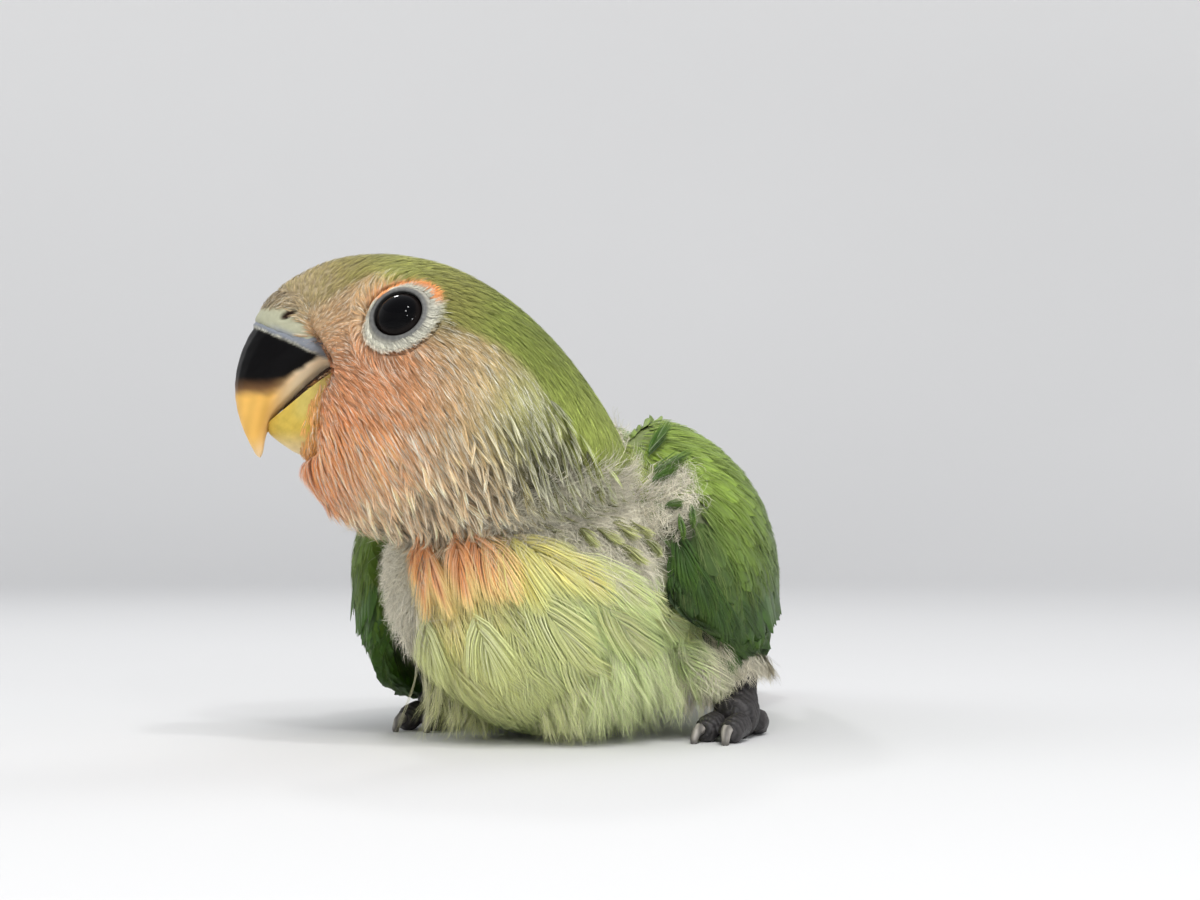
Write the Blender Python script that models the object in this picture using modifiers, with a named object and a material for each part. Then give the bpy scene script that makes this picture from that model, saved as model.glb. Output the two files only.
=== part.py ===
"""Peach-faced lovebird fledgling, life size, crouched with its head turned to its right.

The body lies along Y with the breast towards -Y, the bird's left is +X, and up is +Z.
Every solid reaches out to the tips of the plumage.
"""
import math

import bmesh
import bpy
import numpy as np
from mathutils import Matrix, Vector

MM = 0.001
GAP = 0.3
FLOOR_LEVEL = 0.0

# Corners of the cutting blocks that divide body and wings, in millimetres.
FLOOR_BLOCK = ((-80, -80, -30), (80, 100, 0))
BLOCK_WIDTH = 50.0
BLOCK_BOTTOM = -10.0
BLOCK_TOP = 60.0
BLOCK_FRONT = -60.0
BLOCK_BACK = 80.0

# Head: a forward axis turned from -Y towards the bird's right, through the eye line.
HEAD_TURN = math.radians(64)
HEAD_ORIGIN = Vector((-10.6 * MM, -25.8 * MM, 50.4 * MM))
EYE_PLACE = (-0.2, 10.6, -1.0)
EYE_RADIUS = 3.3 * MM
EYE_DEPTH = 2.25 * MM
EYE_UP_TILT = math.radians(25)
EYE_FORWARD_TILT = math.radians(20)
EYE_SEGMENTS = 16
LID_PROFILE = ((3.28, 1.35), (3.88, 1.3), (3.9, 2.1), (2.9, 2.62), (2.6, 2.4))
SOCKET_RADIUS = 4.25 * MM
SOCKET_DEPTH = 12 * MM
SOCKET_MIDDLE = 2.3 * MM
SOCKET_SEGMENTS = 18

# Head profiles along its forward axis, heights counted from the eye line.
CROWN = ((-28, -17.0), (-26, -13.0), (-22, -6.5), (-18, -1.6), (-12, 3.5), (-6, 6.6),
         (0, 7.7), (6, 7.0), (11, 5.0), (14, 3.0), (16.2, 0.8))
THROAT = ((-28, -19.8), (-24, -22.6), (-18, -25.0), (-10, -26.4), (0, -26.6), (4, -25.3),
          (8, -22.8), (11.2, -19.6), (12.2, -13.0), (13.2, -6.0), (16.2, -1.4))
HEAD_HALF_WIDTH = ((-28, 3.0), (-26, 7.0), (-22, 11.2), (-16, 14.2), (-9, 15.3), (-5, 14.9),
                   (0, 12.9), (4, 10.7), (7.5, 7.8), (10, 6.0), (13, 4.4), (16.2, 2.0))
HEAD_STATIONS = (-28, -26, -22.5, -17.5, -11.5, -5.5, 0, 5, 8.5, 11.4, 14.4, 16.2)
HEAD_WIDEST = 0.45

# Line where the face meets cere and bill, as (forward, up) from the eye, forehead to chin.
FACE_LINE = ((17.0, 2.5), (11.2, 1.2), (10.6, -1.6), (8.6, -4.3), (7.2, -6.8), (7.4, -8.6),
             (9.4, -10.4), (10.6, -13.2), (10.7, -17.2), (14.0, -19.6))
FACE_FRONT = 30.0
FACE_REAR = -10.0
FACE_REACH = 16.0
FACE_ABOVE = 8.0
FACE_BELOW = 4.0

# Neck: a plug from the shoulders (low) up into the head (high), with its radii.
NECK_LOW = (1.0, -8.0, 20.0)
NECK_HIGH = (-4.5, -18.0, 39.5)
NECK_RADII = (6.5, 11.4, 12.6, 11.6, 6.0)
NECK_LEAN = 0.35
NECK_RING = 10

# Trunk profiles, read along Y: back line, belly line and half width.
BACK = ((-28.5, 21.0), (-27, 25.6), (-20, 32.6), (-10, 38.2), (-2, 40.2), (10, 38.7),
        (24, 33.2), (36, 25.6), (46, 18.8))
BELLY = ((-28.5, 13.2), (-27, 9.0), (-22, 4.0), (-15, 0.6), (-8, -0.8), (12, -0.8),
         (22, 0.2), (32, 3.4), (46, 9.4))
TRUNK_HALF_WIDTH = ((-28.5, 4.5), (-27, 9.2), (-22, 15.4), (-14, 19.4), (-4, 20.2), (6, 18.2),
                    (20, 14.2), (34, 9.8), (46, 5.2))
TRUNK_STATIONS = (-28.5, -27, -23.5, -17.5, -10, -1, 8, 17, 27, 37, 46)
TRUNK_WIDEST = 0.52
BELLY_TAPER = 0.2
BACK_TAPER = 0.06
RUMP_START = 30.5

# Wing profiles, read along Y: outermost reach, top edge, lower edge and thickness.
WING_REACH = ((-14, 21.4), (-12, 24.6), (-6, 27.4), (-2, 27.8), (8, 25.2), (20, 21.4),
              (34, 16.6), (51, 11.2))
WING_TOP = ((-14, 29.0), (-12, 33.4), (-6, 38.4), (3, 40.4), (14, 38.2), (28, 31.6), (51, 15.8))
WING_SOLE = ((-14, 17.5), (-12, 14.0), (-6, 11.0), (4, 8.6), (20, 7.4), (36, 8.0), (51, 10.2))
WING_THICK = ((-14, 2.0), (-10, 4.2), (0, 4.6), (20, 3.6), (36, 2.4), (51, 1.2))
WING_STATIONS = (-14, -11.5, -6, 2, 11, 20, 30, 41, 51)
WING_TOP_ANGLE = math.radians(78)
WING_SOLE_ANGLE = math.radians(-56)
WING_CURVE_SHARE = 0.80
WING_TUCK = 0.5
WING_LEVEL_SHARE = 0.38
WING_DROOP = {"L": 0.0, "R": 7.4}
DROOP_START = -20.0
DROOP_RUN = 12.0
DROOP_FADE = 0.6 / 51
WING_STEPS = 6
EDGE_SHARE = 0.35
FLIGHT_START = 24.0

# Tail profiles, read along Y: middle level, half width and thickness.
TAIL_LEVEL = ((40, 14.2), (50, 11.2), (60, 8.0), (67, 5.8))
TAIL_HALF_WIDTH = ((40, 5.0), (50, 6.6), (58, 7.4), (64, 6.4), (67, 3.6))
TAIL_THICK = ((40, 4.4), (52, 3.0), (62, 1.8), (67, 1.1))
TAIL_STATIONS = (40, 48, 56, 63, 67)

# Bill chords from the culmen or chin line to the cutting edge, (forward, up), and half width.
UPPER_BILL = (((13.6, 0.6), (5.4, -5.4), 4.7), ((15.8, -1.0), (7.2, -6.6), 4.9),
              ((17.2, -2.8), (9.3, -7.9), 4.7), ((18.3, -5.6), (11.2, -9.5), 4.3),
              ((18.8, -8.6), (13.0, -11.1), 3.6), ((18.4, -11.8), (14.5, -12.2), 2.6),
              ((17.3, -14.6), (15.3, -14.4), 1.4), ((15.9, -17.2), (15.6, -17.0), 0.35))
LOWER_BILL = (((6.0, -17.4), (4.8, -8.8), 4.0), ((8.9, -17.3), (7.9, -8.4), 4.4),
              ((11.5, -16.4), (10.5, -9.8), 4.3), ((13.5, -14.8), (12.7, -11.2), 3.5),
              ((14.9, -13.4), (14.2, -12.1), 2.4))
CERE = (((13.0, 3.4), (4.6, -2.4), 4.6), ((15.7, 1.5), (6.4, -4.2), 5.3),
        ((16.6, -1.0), (7.6, -6.2), 5.3), ((16.4, -2.2), (8.2, -7.2), 4.4))
BILL_RING = 10

# Legs, in millimetres: foot centres, thigh, shank, and the toes as (sideways, forward) reaches.
FOOT = {"L": (22.2, -0.5), "R": (-17.6, -0.5)}
THIGH_RADII = (5.2, 8.0, 5.4)
THIGH_OFFSET = (-3.2, 2.0, 9.0)
SHANK_PATH = ((0.0, -1.9, 2.2), (0.0, -0.8, 2.4), (0.0, 1.0, 3.0), (-0.2, 2.6, 5.4), (-0.6, 4.4, 8.6))
SHANK_RADII = (1.3, 2.7, 2.6, 1.8, 1.8)
TOE_RADIUS = 1.35
CLAW_RADIUS = 0.72
TOE_ROOT = 2.7
TOE_SIDE = 1.6
TOE_REACHES = ((-1.9, -6.6), (1.3, -7.0), (-2.6, 6.2), (0.6, 6.6))
TOE_BEND = ((0.0, 2.0), (0.5, 1.7), (0.8, 1.25), (1.0, 1.5))
TOE_THICKNESS = (1.0, 1.04, 1.0, 0.62)
CLAW_ARC_RADIUS = 2.3
CLAW_START = math.radians(68)
CLAW_END = math.radians(-50)
CLAW_STEPS = 5
CLAW_LIFT = 0.9
CLAW_GAP = 0.45
CLAW_ROOT_RISE = 0.25
CLAW_SHARPNESS = 0.78

COLOURS = {
    "head": (0.34, 0.36, 0.12), "neck": (0.36, 0.35, 0.27), "trunk": (0.42, 0.44, 0.16),
    "rump": (0.10, 0.30, 0.42), "tail": (0.10, 0.27, 0.05), "wing": (0.12, 0.27, 0.04),
    "flight": (0.05, 0.09, 0.04), "thigh": (0.40, 0.38, 0.28), "shank": (0.06, 0.06, 0.06),
    "toe": (0.06, 0.06, 0.06), "claw": (0.10, 0.10, 0.10), "eye": (0.004, 0.004, 0.005),
    "eye_ring": (0.45, 0.46, 0.46), "cere": (0.42, 0.43, 0.36), "bill_upper": (0.03, 0.025, 0.02),
    "bill_lower": (0.55, 0.45, 0.10),
}
ROUGHNESS = {"eye": 0.05, "bill_upper": 0.3, "bill_lower": 0.35, "claw": 0.35}

head_forward = Vector((-math.sin(HEAD_TURN), -math.cos(HEAD_TURN), 0.0))
head_left = Vector((math.cos(HEAD_TURN), -math.sin(HEAD_TURN), 0.0))
up = Vector((0.0, 0.0, 1.0))


def clear_scene():
    for old in list(bpy.data.objects):
        bpy.data.objects.remove(old, do_unlink=True)


def new_collection(name):
    collection = bpy.data.collections.new(name)
    bpy.context.scene.collection.children.link(collection)
    return collection


def read_profile(knots, place):
    """Value at a place on a smooth line through the knots that never overshoots them."""
    places = np.array([knot[0] for knot in knots], dtype=float)
    values = np.array([knot[1] for knot in knots], dtype=float)
    steps = np.diff(places)
    slopes = np.diff(values) / steps
    tangents = np.zeros(len(values))
    tangents[0] = slopes[0]
    tangents[-1] = slopes[-1]
    for i in range(1, len(values) - 1):
        if slopes[i - 1] * slopes[i] > 0:
            tangents[i] = 2 * slopes[i - 1] * slopes[i] / (slopes[i - 1] + slopes[i])
    i = int(np.clip(np.searchsorted(places, place) - 1, 0, len(steps) - 1))
    t = (place - places[i]) / steps[i]
    start = (1 + 2 * t) * (1 - t) ** 2 * values[i] + t * (1 - t) ** 2 * steps[i] * tangents[i]
    end = t * t * (3 - 2 * t) * values[i + 1] + t * t * (t - 1) * steps[i] * tangents[i + 1]
    return float(start + end)


def head_point(forward, side, rise):
    """A point of the head, in millimetres forward of the eye line, to the left and up."""
    return HEAD_ORIGIN + (head_forward * forward + head_left * side + up * rise) * MM


def oval_ring(half_width, top, bottom, widest_share, tapers=(0.0, 0.0), count=12):
    """Points (across, up) round an egg-like section, allowing for the cage's shrinkage."""
    middle = bottom + widest_share * (top - bottom)
    swell = 3 / (2 + math.cos(2 * math.pi / count))
    points = []
    for i in range(count):
        angle = 2 * math.pi * (i + 0.5) / count
        across = math.cos(angle)
        rise = math.sin(angle)
        reach = (top - middle) if rise > 0 else (middle - bottom)
        narrowing = 1 - (tapers[0] if rise > 0 else tapers[1]) * abs(rise)
        points.append((half_width * across * narrowing * swell, middle + reach * rise * swell))
    return points


def loft(name, rings, collection, levels=1):
    """A closed cage through equal rings of points, rounded by subdivision."""
    shell = bmesh.new()
    rows = [[shell.verts.new(point) for point in ring] for ring in rings]
    count = len(rings[0])
    for row, following in zip(rows, rows[1:]):
        for i in range(count):
            j = (i + 1) % count
            shell.faces.new((row[i], row[j], following[j], following[i]))
    shell.faces.new(rows[0][::-1])
    shell.faces.new(rows[-1])
    bmesh.ops.recalc_face_normals(shell, faces=shell.faces)
    return finish_mesh(name, shell, collection, levels)


def finish_mesh(name, shell, collection, levels=0):
    mesh = bpy.data.meshes.new(name)
    shell.to_mesh(mesh)
    shell.free()
    mesh.shade_smooth()
    solid = bpy.data.objects.new(name, mesh)
    collection.objects.link(solid)
    solid.parent = stance
    if levels:
        rounding = solid.modifiers.new("Rounding", "SUBSURF")
        rounding.levels = levels
        rounding.render_levels = levels
    return solid


def finish_material(solid, kind):
    material = bpy.data.materials.get(kind) or bpy.data.materials.new(kind)
    material.use_nodes = True
    shader = material.node_tree.nodes["Principled BSDF"]
    shader.inputs["Base Color"].default_value = (*COLOURS[kind], 1.0)
    shader.inputs["Roughness"].default_value = ROUGHNESS.get(kind, 0.8)
    shader.inputs["Metallic"].default_value = 0.0
    solid.data.materials.append(material)


def as_cutter(solid):
    solid.hide_render = True
    solid.display_type = "WIRE"
    return solid


def swollen(solid):
    """A guide of the same shape as a solid, larger all round by the gap."""
    guide = bpy.data.objects.new(solid.name + "_clearance", solid.data)
    cutters.objects.link(guide)
    guide.parent = stance
    guide.matrix_local = solid.matrix_local
    for source in solid.modifiers:
        if source.type == "SUBSURF":
            copy = guide.modifiers.new("Rounding", "SUBSURF")
            copy.levels = source.levels
            copy.render_levels = source.render_levels
    spread = guide.modifiers.new("Clearance", "DISPLACE")
    spread.strength = GAP * MM
    spread.mid_level = 0.0
    return as_cutter(guide)


def cut(solid, cutter):
    """Take the cutter's space out of a solid."""
    hollow = solid.modifiers.new("Cut " + cutter.name, "BOOLEAN")
    hollow.operation = "DIFFERENCE"
    hollow.solver = "EXACT"
    hollow.object = cutter


def block(name, lowest, highest):
    """A box cutter between two corners in millimetres."""
    box = bmesh.new()
    bmesh.ops.create_cube(box, size=1.0)
    size = [(high - low) * MM for low, high in zip(lowest, highest)]
    centre = [(high + low) * 0.5 * MM for low, high in zip(lowest, highest)]
    bmesh.ops.scale(box, vec=size, verts=box.verts)
    bmesh.ops.translate(box, vec=centre, verts=box.verts)
    return as_cutter(finish_mesh(name, box, cutters))


def slice_block(name, front, back):
    """A wide box cutter between two places along the body."""
    return block(name, (-BLOCK_WIDTH, front, BLOCK_BOTTOM), (BLOCK_WIDTH, back, BLOCK_TOP))


def tube(name, path, radii, sides=8):
    """A round rod through points in millimetres, its radius changing along it, caps closed."""
    line = bpy.data.curves.new(name + "_line", "CURVE")
    line.dimensions = "3D"
    line.bevel_depth = MM
    line.bevel_resolution = sides // 2 - 2
    line.use_fill_caps = True
    spline = line.splines.new("POLY")
    spline.points.add(len(path) - 1)
    for knot, place, radius in zip(spline.points, path, radii):
        knot.co = (place[0] * MM, place[1] * MM, place[2] * MM, 1.0)
        knot.radius = radius
    rod = bpy.data.objects.new(name + "_line", line)
    bpy.context.scene.collection.objects.link(rod)
    evaluated = rod.evaluated_get(bpy.context.evaluated_depsgraph_get())
    mesh = bpy.data.meshes.new_from_object(evaluated)
    bpy.data.objects.remove(rod, do_unlink=True)
    shell = bmesh.new()
    shell.from_mesh(mesh)
    bpy.data.meshes.remove(mesh)
    bmesh.ops.remove_doubles(shell, verts=shell.verts, dist=0.00001)
    bmesh.ops.recalc_face_normals(shell, faces=shell.faces)
    return finish_mesh(name, shell, parts)


def make_head():
    rings = []
    for place in HEAD_STATIONS:
        section = oval_ring(read_profile(HEAD_HALF_WIDTH, place), read_profile(CROWN, place),
                            read_profile(THROAT, place), HEAD_WIDEST)
        rings.append([head_point(place, side, level) for side, level in section])
    return loft("head", rings, parts)


def chord_ring(culmen, edge, half_width, count=BILL_RING):
    """A bill section: a round outer side and flatter cheeks that meet at the cutting edge."""
    start = Vector(culmen)
    run = Vector(edge) - start
    swell = 3 / (2 + math.cos(2 * math.pi / count))
    points = []
    for i in range(count):
        angle = 2 * math.pi * i / count
        along = 0.5 - 0.5 * math.cos(angle) * swell
        fullness = abs(math.sin(angle)) ** 0.8
        side = half_width * swell * math.copysign(fullness, math.sin(angle))
        place = start + run * along
        points.append(head_point(place.x, side, place.y))
    return points


def make_bill_piece(name, chords):
    return loft(name, [chord_ring(*chord) for chord in chords], parts)


def make_trunk_loft(name):
    rings = []
    for place in TRUNK_STATIONS:
        section = oval_ring(read_profile(TRUNK_HALF_WIDTH, place), read_profile(BACK, place),
                            read_profile(BELLY, place), TRUNK_WIDEST,
                            (BACK_TAPER, BELLY_TAPER))
        rings.append([Vector((across, place, level)) * MM for across, level in section])
    return loft(name, rings, parts)


def wing_across(centre, radius, angle):
    """Distance of the wing's outer line from the middle, tucked in less below than above."""
    tuck = 1.0 if angle > 0 else WING_TUCK
    return centre + radius * (1 - tuck * (1 - math.cos(angle)))


def wing_ring(place, side_sign, droop):
    """A curved strip section of the folded wing, outer line down and inner line back up."""
    reach = read_profile(WING_REACH, place)
    top = read_profile(WING_TOP, place)
    sole = read_profile(WING_SOLE, place)
    thick = read_profile(WING_THICK, place)
    radius = WING_CURVE_SHARE * reach
    centre = reach - radius
    level = sole + WING_LEVEL_SHARE * (top - sole)
    sole -= droop * min(1.0, (place - DROOP_START) / DROOP_RUN) * (1 - DROOP_FADE * max(0.0, place))
    rise = (top - level) / math.sin(WING_TOP_ANGLE)
    fall = (sole - level) / math.sin(WING_SOLE_ANGLE)
    line = []
    for i in range(WING_STEPS):
        share = i / (WING_STEPS - 1)
        angle = WING_TOP_ANGLE + (WING_SOLE_ANGLE - WING_TOP_ANGLE) * share
        height = rise if angle > 0 else fall
        fullness = math.sin(math.pi * (0.12 + 0.76 * share))
        line.append((angle, height, thick * (EDGE_SHARE + (1 - EDGE_SHARE) * fullness)))
    outer = [(wing_across(centre, radius, a), level + h * math.sin(a)) for a, h, t in line]
    inner = [(wing_across(centre, radius, a) - t * math.cos(a), level + (h - t) * math.sin(a))
             for a, h, t in line]
    return [Vector((side_sign * across, place, height)) * MM
            for across, height in outer + inner[::-1]]


def make_wing_loft(name, side, side_sign):
    rings = [wing_ring(place, side_sign, WING_DROOP[side]) for place in WING_STATIONS]
    return loft(name, rings, parts)


def make_tail():
    rings = []
    for place in TAIL_STATIONS:
        level = read_profile(TAIL_LEVEL, place)
        half = read_profile(TAIL_THICK, place) / 2
        section = oval_ring(read_profile(TAIL_HALF_WIDTH, place), level + half, level - half,
                            0.5, count=8)
        rings.append([Vector((across, place, height)) * MM for across, height in section])
    return loft("tail", rings, parts)


def face_block(name, line, far, shift):
    """A cutter across the head between the face line and a far edge, moved forward by shift."""
    outline = list(line) + [(far, line[-1][1] - FACE_BELOW), (far, line[0][1] + FACE_ABOVE)]
    block_mesh = bmesh.new()
    rows = []
    for side in (-FACE_REACH, FACE_REACH):
        rows.append([block_mesh.verts.new(head_point(forward + shift, side, rise))
                     for forward, rise in outline])
    for i in range(len(outline)):
        j = (i + 1) % len(outline)
        block_mesh.faces.new((rows[0][i], rows[0][j], rows[1][j], rows[1][i]))
    block_mesh.faces.new(rows[0])
    block_mesh.faces.new(rows[1][::-1])
    bmesh.ops.recalc_face_normals(block_mesh, faces=block_mesh.faces)
    return as_cutter(finish_mesh(name, block_mesh, cutters))


def make_neck():
    """A thick plug from the trunk's shoulders up into the head."""
    rings = []
    for i, radius in enumerate(NECK_RADII):
        middle = Vector(NECK_LOW).lerp(Vector(NECK_HIGH), i / (len(NECK_RADII) - 1))
        ring = []
        for j in range(NECK_RING):
            angle = 2 * math.pi * j / NECK_RING
            around = Vector((math.cos(angle), math.sin(angle), NECK_LEAN * math.sin(angle)))
            ring.append((middle + around * radius) * MM)
        rings.append(ring)
    return loft("neck", rings, parts)


def eye_frame(side_sign):
    """The eye's centre and its outward axis."""
    axis = (head_left * side_sign * math.cos(EYE_UP_TILT) * math.cos(EYE_FORWARD_TILT)
            + head_forward * math.cos(EYE_UP_TILT) * math.sin(EYE_FORWARD_TILT)
            + up * math.sin(EYE_UP_TILT))
    forward, side, rise = EYE_PLACE
    return head_point(forward, side * side_sign, rise) - axis * EYE_DEPTH, axis.normalized()


def make_eye(side, side_sign):
    centre, axis = eye_frame(side_sign)
    turn = axis.to_track_quat("Z", "Y").to_matrix().to_4x4()
    place = Matrix.Translation(centre) @ turn
    ball = bmesh.new()
    bmesh.ops.create_uvsphere(ball, u_segments=EYE_SEGMENTS, v_segments=EYE_SEGMENTS // 2,
                              radius=EYE_RADIUS)
    bmesh.ops.transform(ball, matrix=place, verts=ball.verts)
    eye = finish_mesh("eye_" + side, ball, parts)
    rings = []
    for i in range(EYE_SEGMENTS):
        angle = 2 * math.pi * i / EYE_SEGMENTS
        around = Vector((math.cos(angle), math.sin(angle), 0.0))
        rings.append([place @ ((around * reach + up * rise) * MM) for reach, rise in LID_PROFILE])
    lid = bmesh.new()
    rows = [[lid.verts.new(point) for point in ring] for ring in rings]
    for row, following in zip(rows, rows[1:] + rows[:1]):
        for i in range(len(LID_PROFILE)):
            j = (i + 1) % len(LID_PROFILE)
            lid.faces.new((row[i], following[i], following[j], row[j]))
    bmesh.ops.recalc_face_normals(lid, faces=lid.faces)
    ring = finish_mesh("eye_ring_" + side, lid, parts)
    socket = bmesh.new()
    bmesh.ops.create_cone(socket, cap_ends=True, segments=SOCKET_SEGMENTS, radius1=SOCKET_RADIUS,
                          radius2=SOCKET_RADIUS, depth=SOCKET_DEPTH)
    bmesh.ops.translate(socket, vec=(0.0, 0.0, SOCKET_MIDDLE), verts=socket.verts)
    bmesh.ops.transform(socket, matrix=place, verts=socket.verts)
    return eye, ring, as_cutter(finish_mesh("socket_" + side, socket, cutters))


def make_thigh(side, side_sign):
    foot = FOOT[side]
    ball = bmesh.new()
    bmesh.ops.create_uvsphere(ball, u_segments=10, v_segments=7, radius=1.0)
    bmesh.ops.scale(ball, vec=[radius * MM for radius in THIGH_RADII], verts=ball.verts)
    centre = (foot[0] + side_sign * THIGH_OFFSET[0], foot[1] + THIGH_OFFSET[1], THIGH_OFFSET[2])
    bmesh.ops.translate(ball, vec=[value * MM for value in centre], verts=ball.verts)
    return finish_mesh("thigh_" + side, ball, parts)


def make_shank(side, side_sign):
    """The scaly leg: a foot pad with the shank leaning back up to the heel."""
    path = [(FOOT[side][0] + across * side_sign, FOOT[side][1] + back, level)
            for across, back, level in SHANK_PATH]
    return tube("shank_" + side, path, SHANK_RADII, 10)


def make_toe(side, side_sign, number, reach):
    """A toe and its claw, the claw arching over and down to the floor."""
    across, along = reach
    heading = Vector((side_sign * across, along, 0.0)).normalized()
    middle = Vector((FOOT[side][0], FOOT[side][1], 0.0))
    root = middle + Vector((side_sign * math.copysign(TOE_SIDE, across),
                            math.copysign(TOE_ROOT, along), 0.0))
    end = middle + Vector((side_sign * across, along, 0.0))
    path = [root.lerp(end, share) + up * level for share, level in TOE_BEND]
    radii = [TOE_RADIUS * share for share in TOE_THICKNESS]
    toe = tube("toe_%s%d" % (side, number), path, radii)
    start = path[-1] + heading * CLAW_GAP + up * CLAW_ROOT_RISE
    claw_path = []
    claw_radii = []
    for i in range(CLAW_STEPS):
        share = i / (CLAW_STEPS - 1)
        angle = CLAW_START + (CLAW_END - CLAW_START) * share
        forward = CLAW_ARC_RADIUS * (math.cos(angle) - math.cos(CLAW_START))
        rise = CLAW_ARC_RADIUS * (math.sin(angle) - math.sin(CLAW_START)) + CLAW_LIFT * share
        claw_path.append(start + heading * forward + up * rise)
        claw_radii.append(CLAW_RADIUS * (1 - CLAW_SHARPNESS * share))
    claw = tube("claw_%s%d" % (side, number), claw_path, claw_radii, 6)
    return toe, claw


def centre_on_floor(solids):
    """Shift the whole bird so that its box stands centred on the origin."""
    bpy.context.view_layer.update()
    graph = bpy.context.evaluated_depsgraph_get()
    corners = []
    for solid in solids:
        evaluated = solid.evaluated_get(graph)
        corners += [evaluated.matrix_world @ Vector(corner) for corner in evaluated.bound_box]
    lowest = [min(corner[i] for corner in corners) for i in range(3)]
    highest = [max(corner[i] for corner in corners) for i in range(3)]
    stance.location = (-(lowest[0] + highest[0]) / 2, -(lowest[1] + highest[1]) / 2,
                       FLOOR_LEVEL - lowest[2])


clear_scene()
parts = new_collection("Peach-faced lovebird")
cutters = new_collection("Cutters")
stance = bpy.data.objects.new("stance", None)
bpy.context.scene.collection.objects.link(stance)

head = make_head()
neck = make_neck()
trunk = make_trunk_loft("trunk")
rump = make_trunk_loft("rump")
tail = make_tail()
cere = make_bill_piece("cere", CERE)
bill_upper = make_bill_piece("bill_upper", UPPER_BILL)
bill_lower = make_bill_piece("bill_lower", LOWER_BILL)
floor = block("floor", *FLOOR_BLOCK)
behind_trunk = slice_block("behind_trunk", RUMP_START, BLOCK_BACK)
before_rump = slice_block("before_rump", BLOCK_FRONT, RUMP_START + GAP)
behind_wing = slice_block("behind_wing", FLIGHT_START, BLOCK_BACK)
before_flight = slice_block("before_flight", BLOCK_FRONT, FLIGHT_START + GAP)

for solid in (trunk, rump):
    cut(solid, floor)
cut(trunk, behind_trunk)
cut(rump, before_rump)
cut(rump, swollen(tail))
muzzle = face_block("muzzle", FACE_LINE, FACE_FRONT, 0.0)
face = face_block("face", FACE_LINE, FACE_REAR, GAP)
cut(head, muzzle)
for piece in (cere, bill_upper, bill_lower):
    cut(piece, face)
cut(cere, swollen(bill_upper))
cut(head, swollen(neck))
head_room = swollen(head)
neck_room = swollen(neck)
cut(trunk, head_room)
cut(trunk, neck_room)

bird = [("head", head), ("neck", neck), ("trunk", trunk), ("rump", rump), ("tail", tail),
        ("cere", cere), ("bill_upper", bill_upper), ("bill_lower", bill_lower)]

for side, side_sign in (("L", 1), ("R", -1)):
    eye, ring, socket = make_eye(side, side_sign)
    cut(head, socket)
    wing = make_wing_loft("wing_" + side, side, side_sign)
    flight = make_wing_loft("flight_" + side, side, side_sign)
    cut(wing, behind_wing)
    cut(flight, before_flight)
    wing_room = swollen(wing)
    for solid in (trunk, rump):
        cut(solid, wing_room)
    for room in (head_room, neck_room):
        cut(wing, room)
    thigh = make_thigh(side, side_sign)
    shank = make_shank(side, side_sign)
    thigh_room = swollen(thigh)
    shank_room = swollen(shank)
    cut(trunk, thigh_room)
    if side == "L":
        cut(wing, thigh_room)
    cut(thigh, shank_room)
    cut(shank, floor)
    bird += [("eye", eye), ("eye_ring", ring), ("wing", wing), ("flight", flight),
             ("thigh", thigh), ("shank", shank)]
    for number, reach in enumerate(TOE_REACHES, start=1):
        toe, claw = make_toe(side, side_sign, number, reach)
        cut(toe, shank_room)
        cut(toe, floor)
        cut(claw, floor)
        bird += [("toe", toe), ("claw", claw)]

for kind, solid in bird:
    finish_material(solid, kind)
centre_on_floor([solid for kind, solid in bird])
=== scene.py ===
"""A life-size young peach-faced lovebird, dressed over its solid model.

The body lies along Y with the breast towards -Y, the bird's left is +X, and up is +Z.
Every length below is in millimetres unless it says otherwise.
"""
import math

import bmesh
import bpy
import numpy as np
from bpy.props import FloatProperty, FloatVectorProperty, PointerProperty
from mathutils import Matrix, Vector
from mathutils.bvhtree import BVHTree


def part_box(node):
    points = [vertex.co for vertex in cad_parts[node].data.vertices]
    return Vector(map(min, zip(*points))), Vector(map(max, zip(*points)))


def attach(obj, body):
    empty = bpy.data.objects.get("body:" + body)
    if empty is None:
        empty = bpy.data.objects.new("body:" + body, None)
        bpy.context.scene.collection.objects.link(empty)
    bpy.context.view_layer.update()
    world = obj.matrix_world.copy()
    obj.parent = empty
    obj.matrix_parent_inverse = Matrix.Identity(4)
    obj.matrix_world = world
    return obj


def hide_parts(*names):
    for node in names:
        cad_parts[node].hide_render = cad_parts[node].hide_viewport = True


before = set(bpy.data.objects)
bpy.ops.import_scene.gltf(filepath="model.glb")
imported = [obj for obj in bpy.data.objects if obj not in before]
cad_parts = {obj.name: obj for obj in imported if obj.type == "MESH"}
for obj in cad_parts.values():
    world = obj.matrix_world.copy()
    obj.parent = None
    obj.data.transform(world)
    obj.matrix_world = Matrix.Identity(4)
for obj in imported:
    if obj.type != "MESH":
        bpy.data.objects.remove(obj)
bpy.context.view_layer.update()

bl_info = {
    "name": "Young lovebird",
    "version": (1, 0, 0),
    "blender": (4, 5, 0),
    "location": "View3D > Sidebar > Lovebird",
    "description": "Dresses the solid model of a young peach-faced lovebird in skin and feathers",
    "category": "Object",
}

MM = 0.001
SEED = 1187
PATCH = 0.003

# The bird's own axes, read from the eyes of the solid model.
HEAD_TURN = math.radians(64)
EYE_IN_HEAD = (-0.90, 0.0, -1.95)
HEAD_IN_BODY = np.array((-10.6, -25.8, 50.4))
EYE_TILT_UP = math.radians(25)
EYE_TILT_FORWARD = math.radians(20)
EYE_BALL = 3.3


def node_box(node):
    """Low and high corner of a solid, in millimetres."""
    low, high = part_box(node)
    return np.array(low) / MM, np.array(high) / MM


def box_middle(node):
    low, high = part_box(node)
    return (Vector(low) + Vector(high)) * 0.5 / MM


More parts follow.
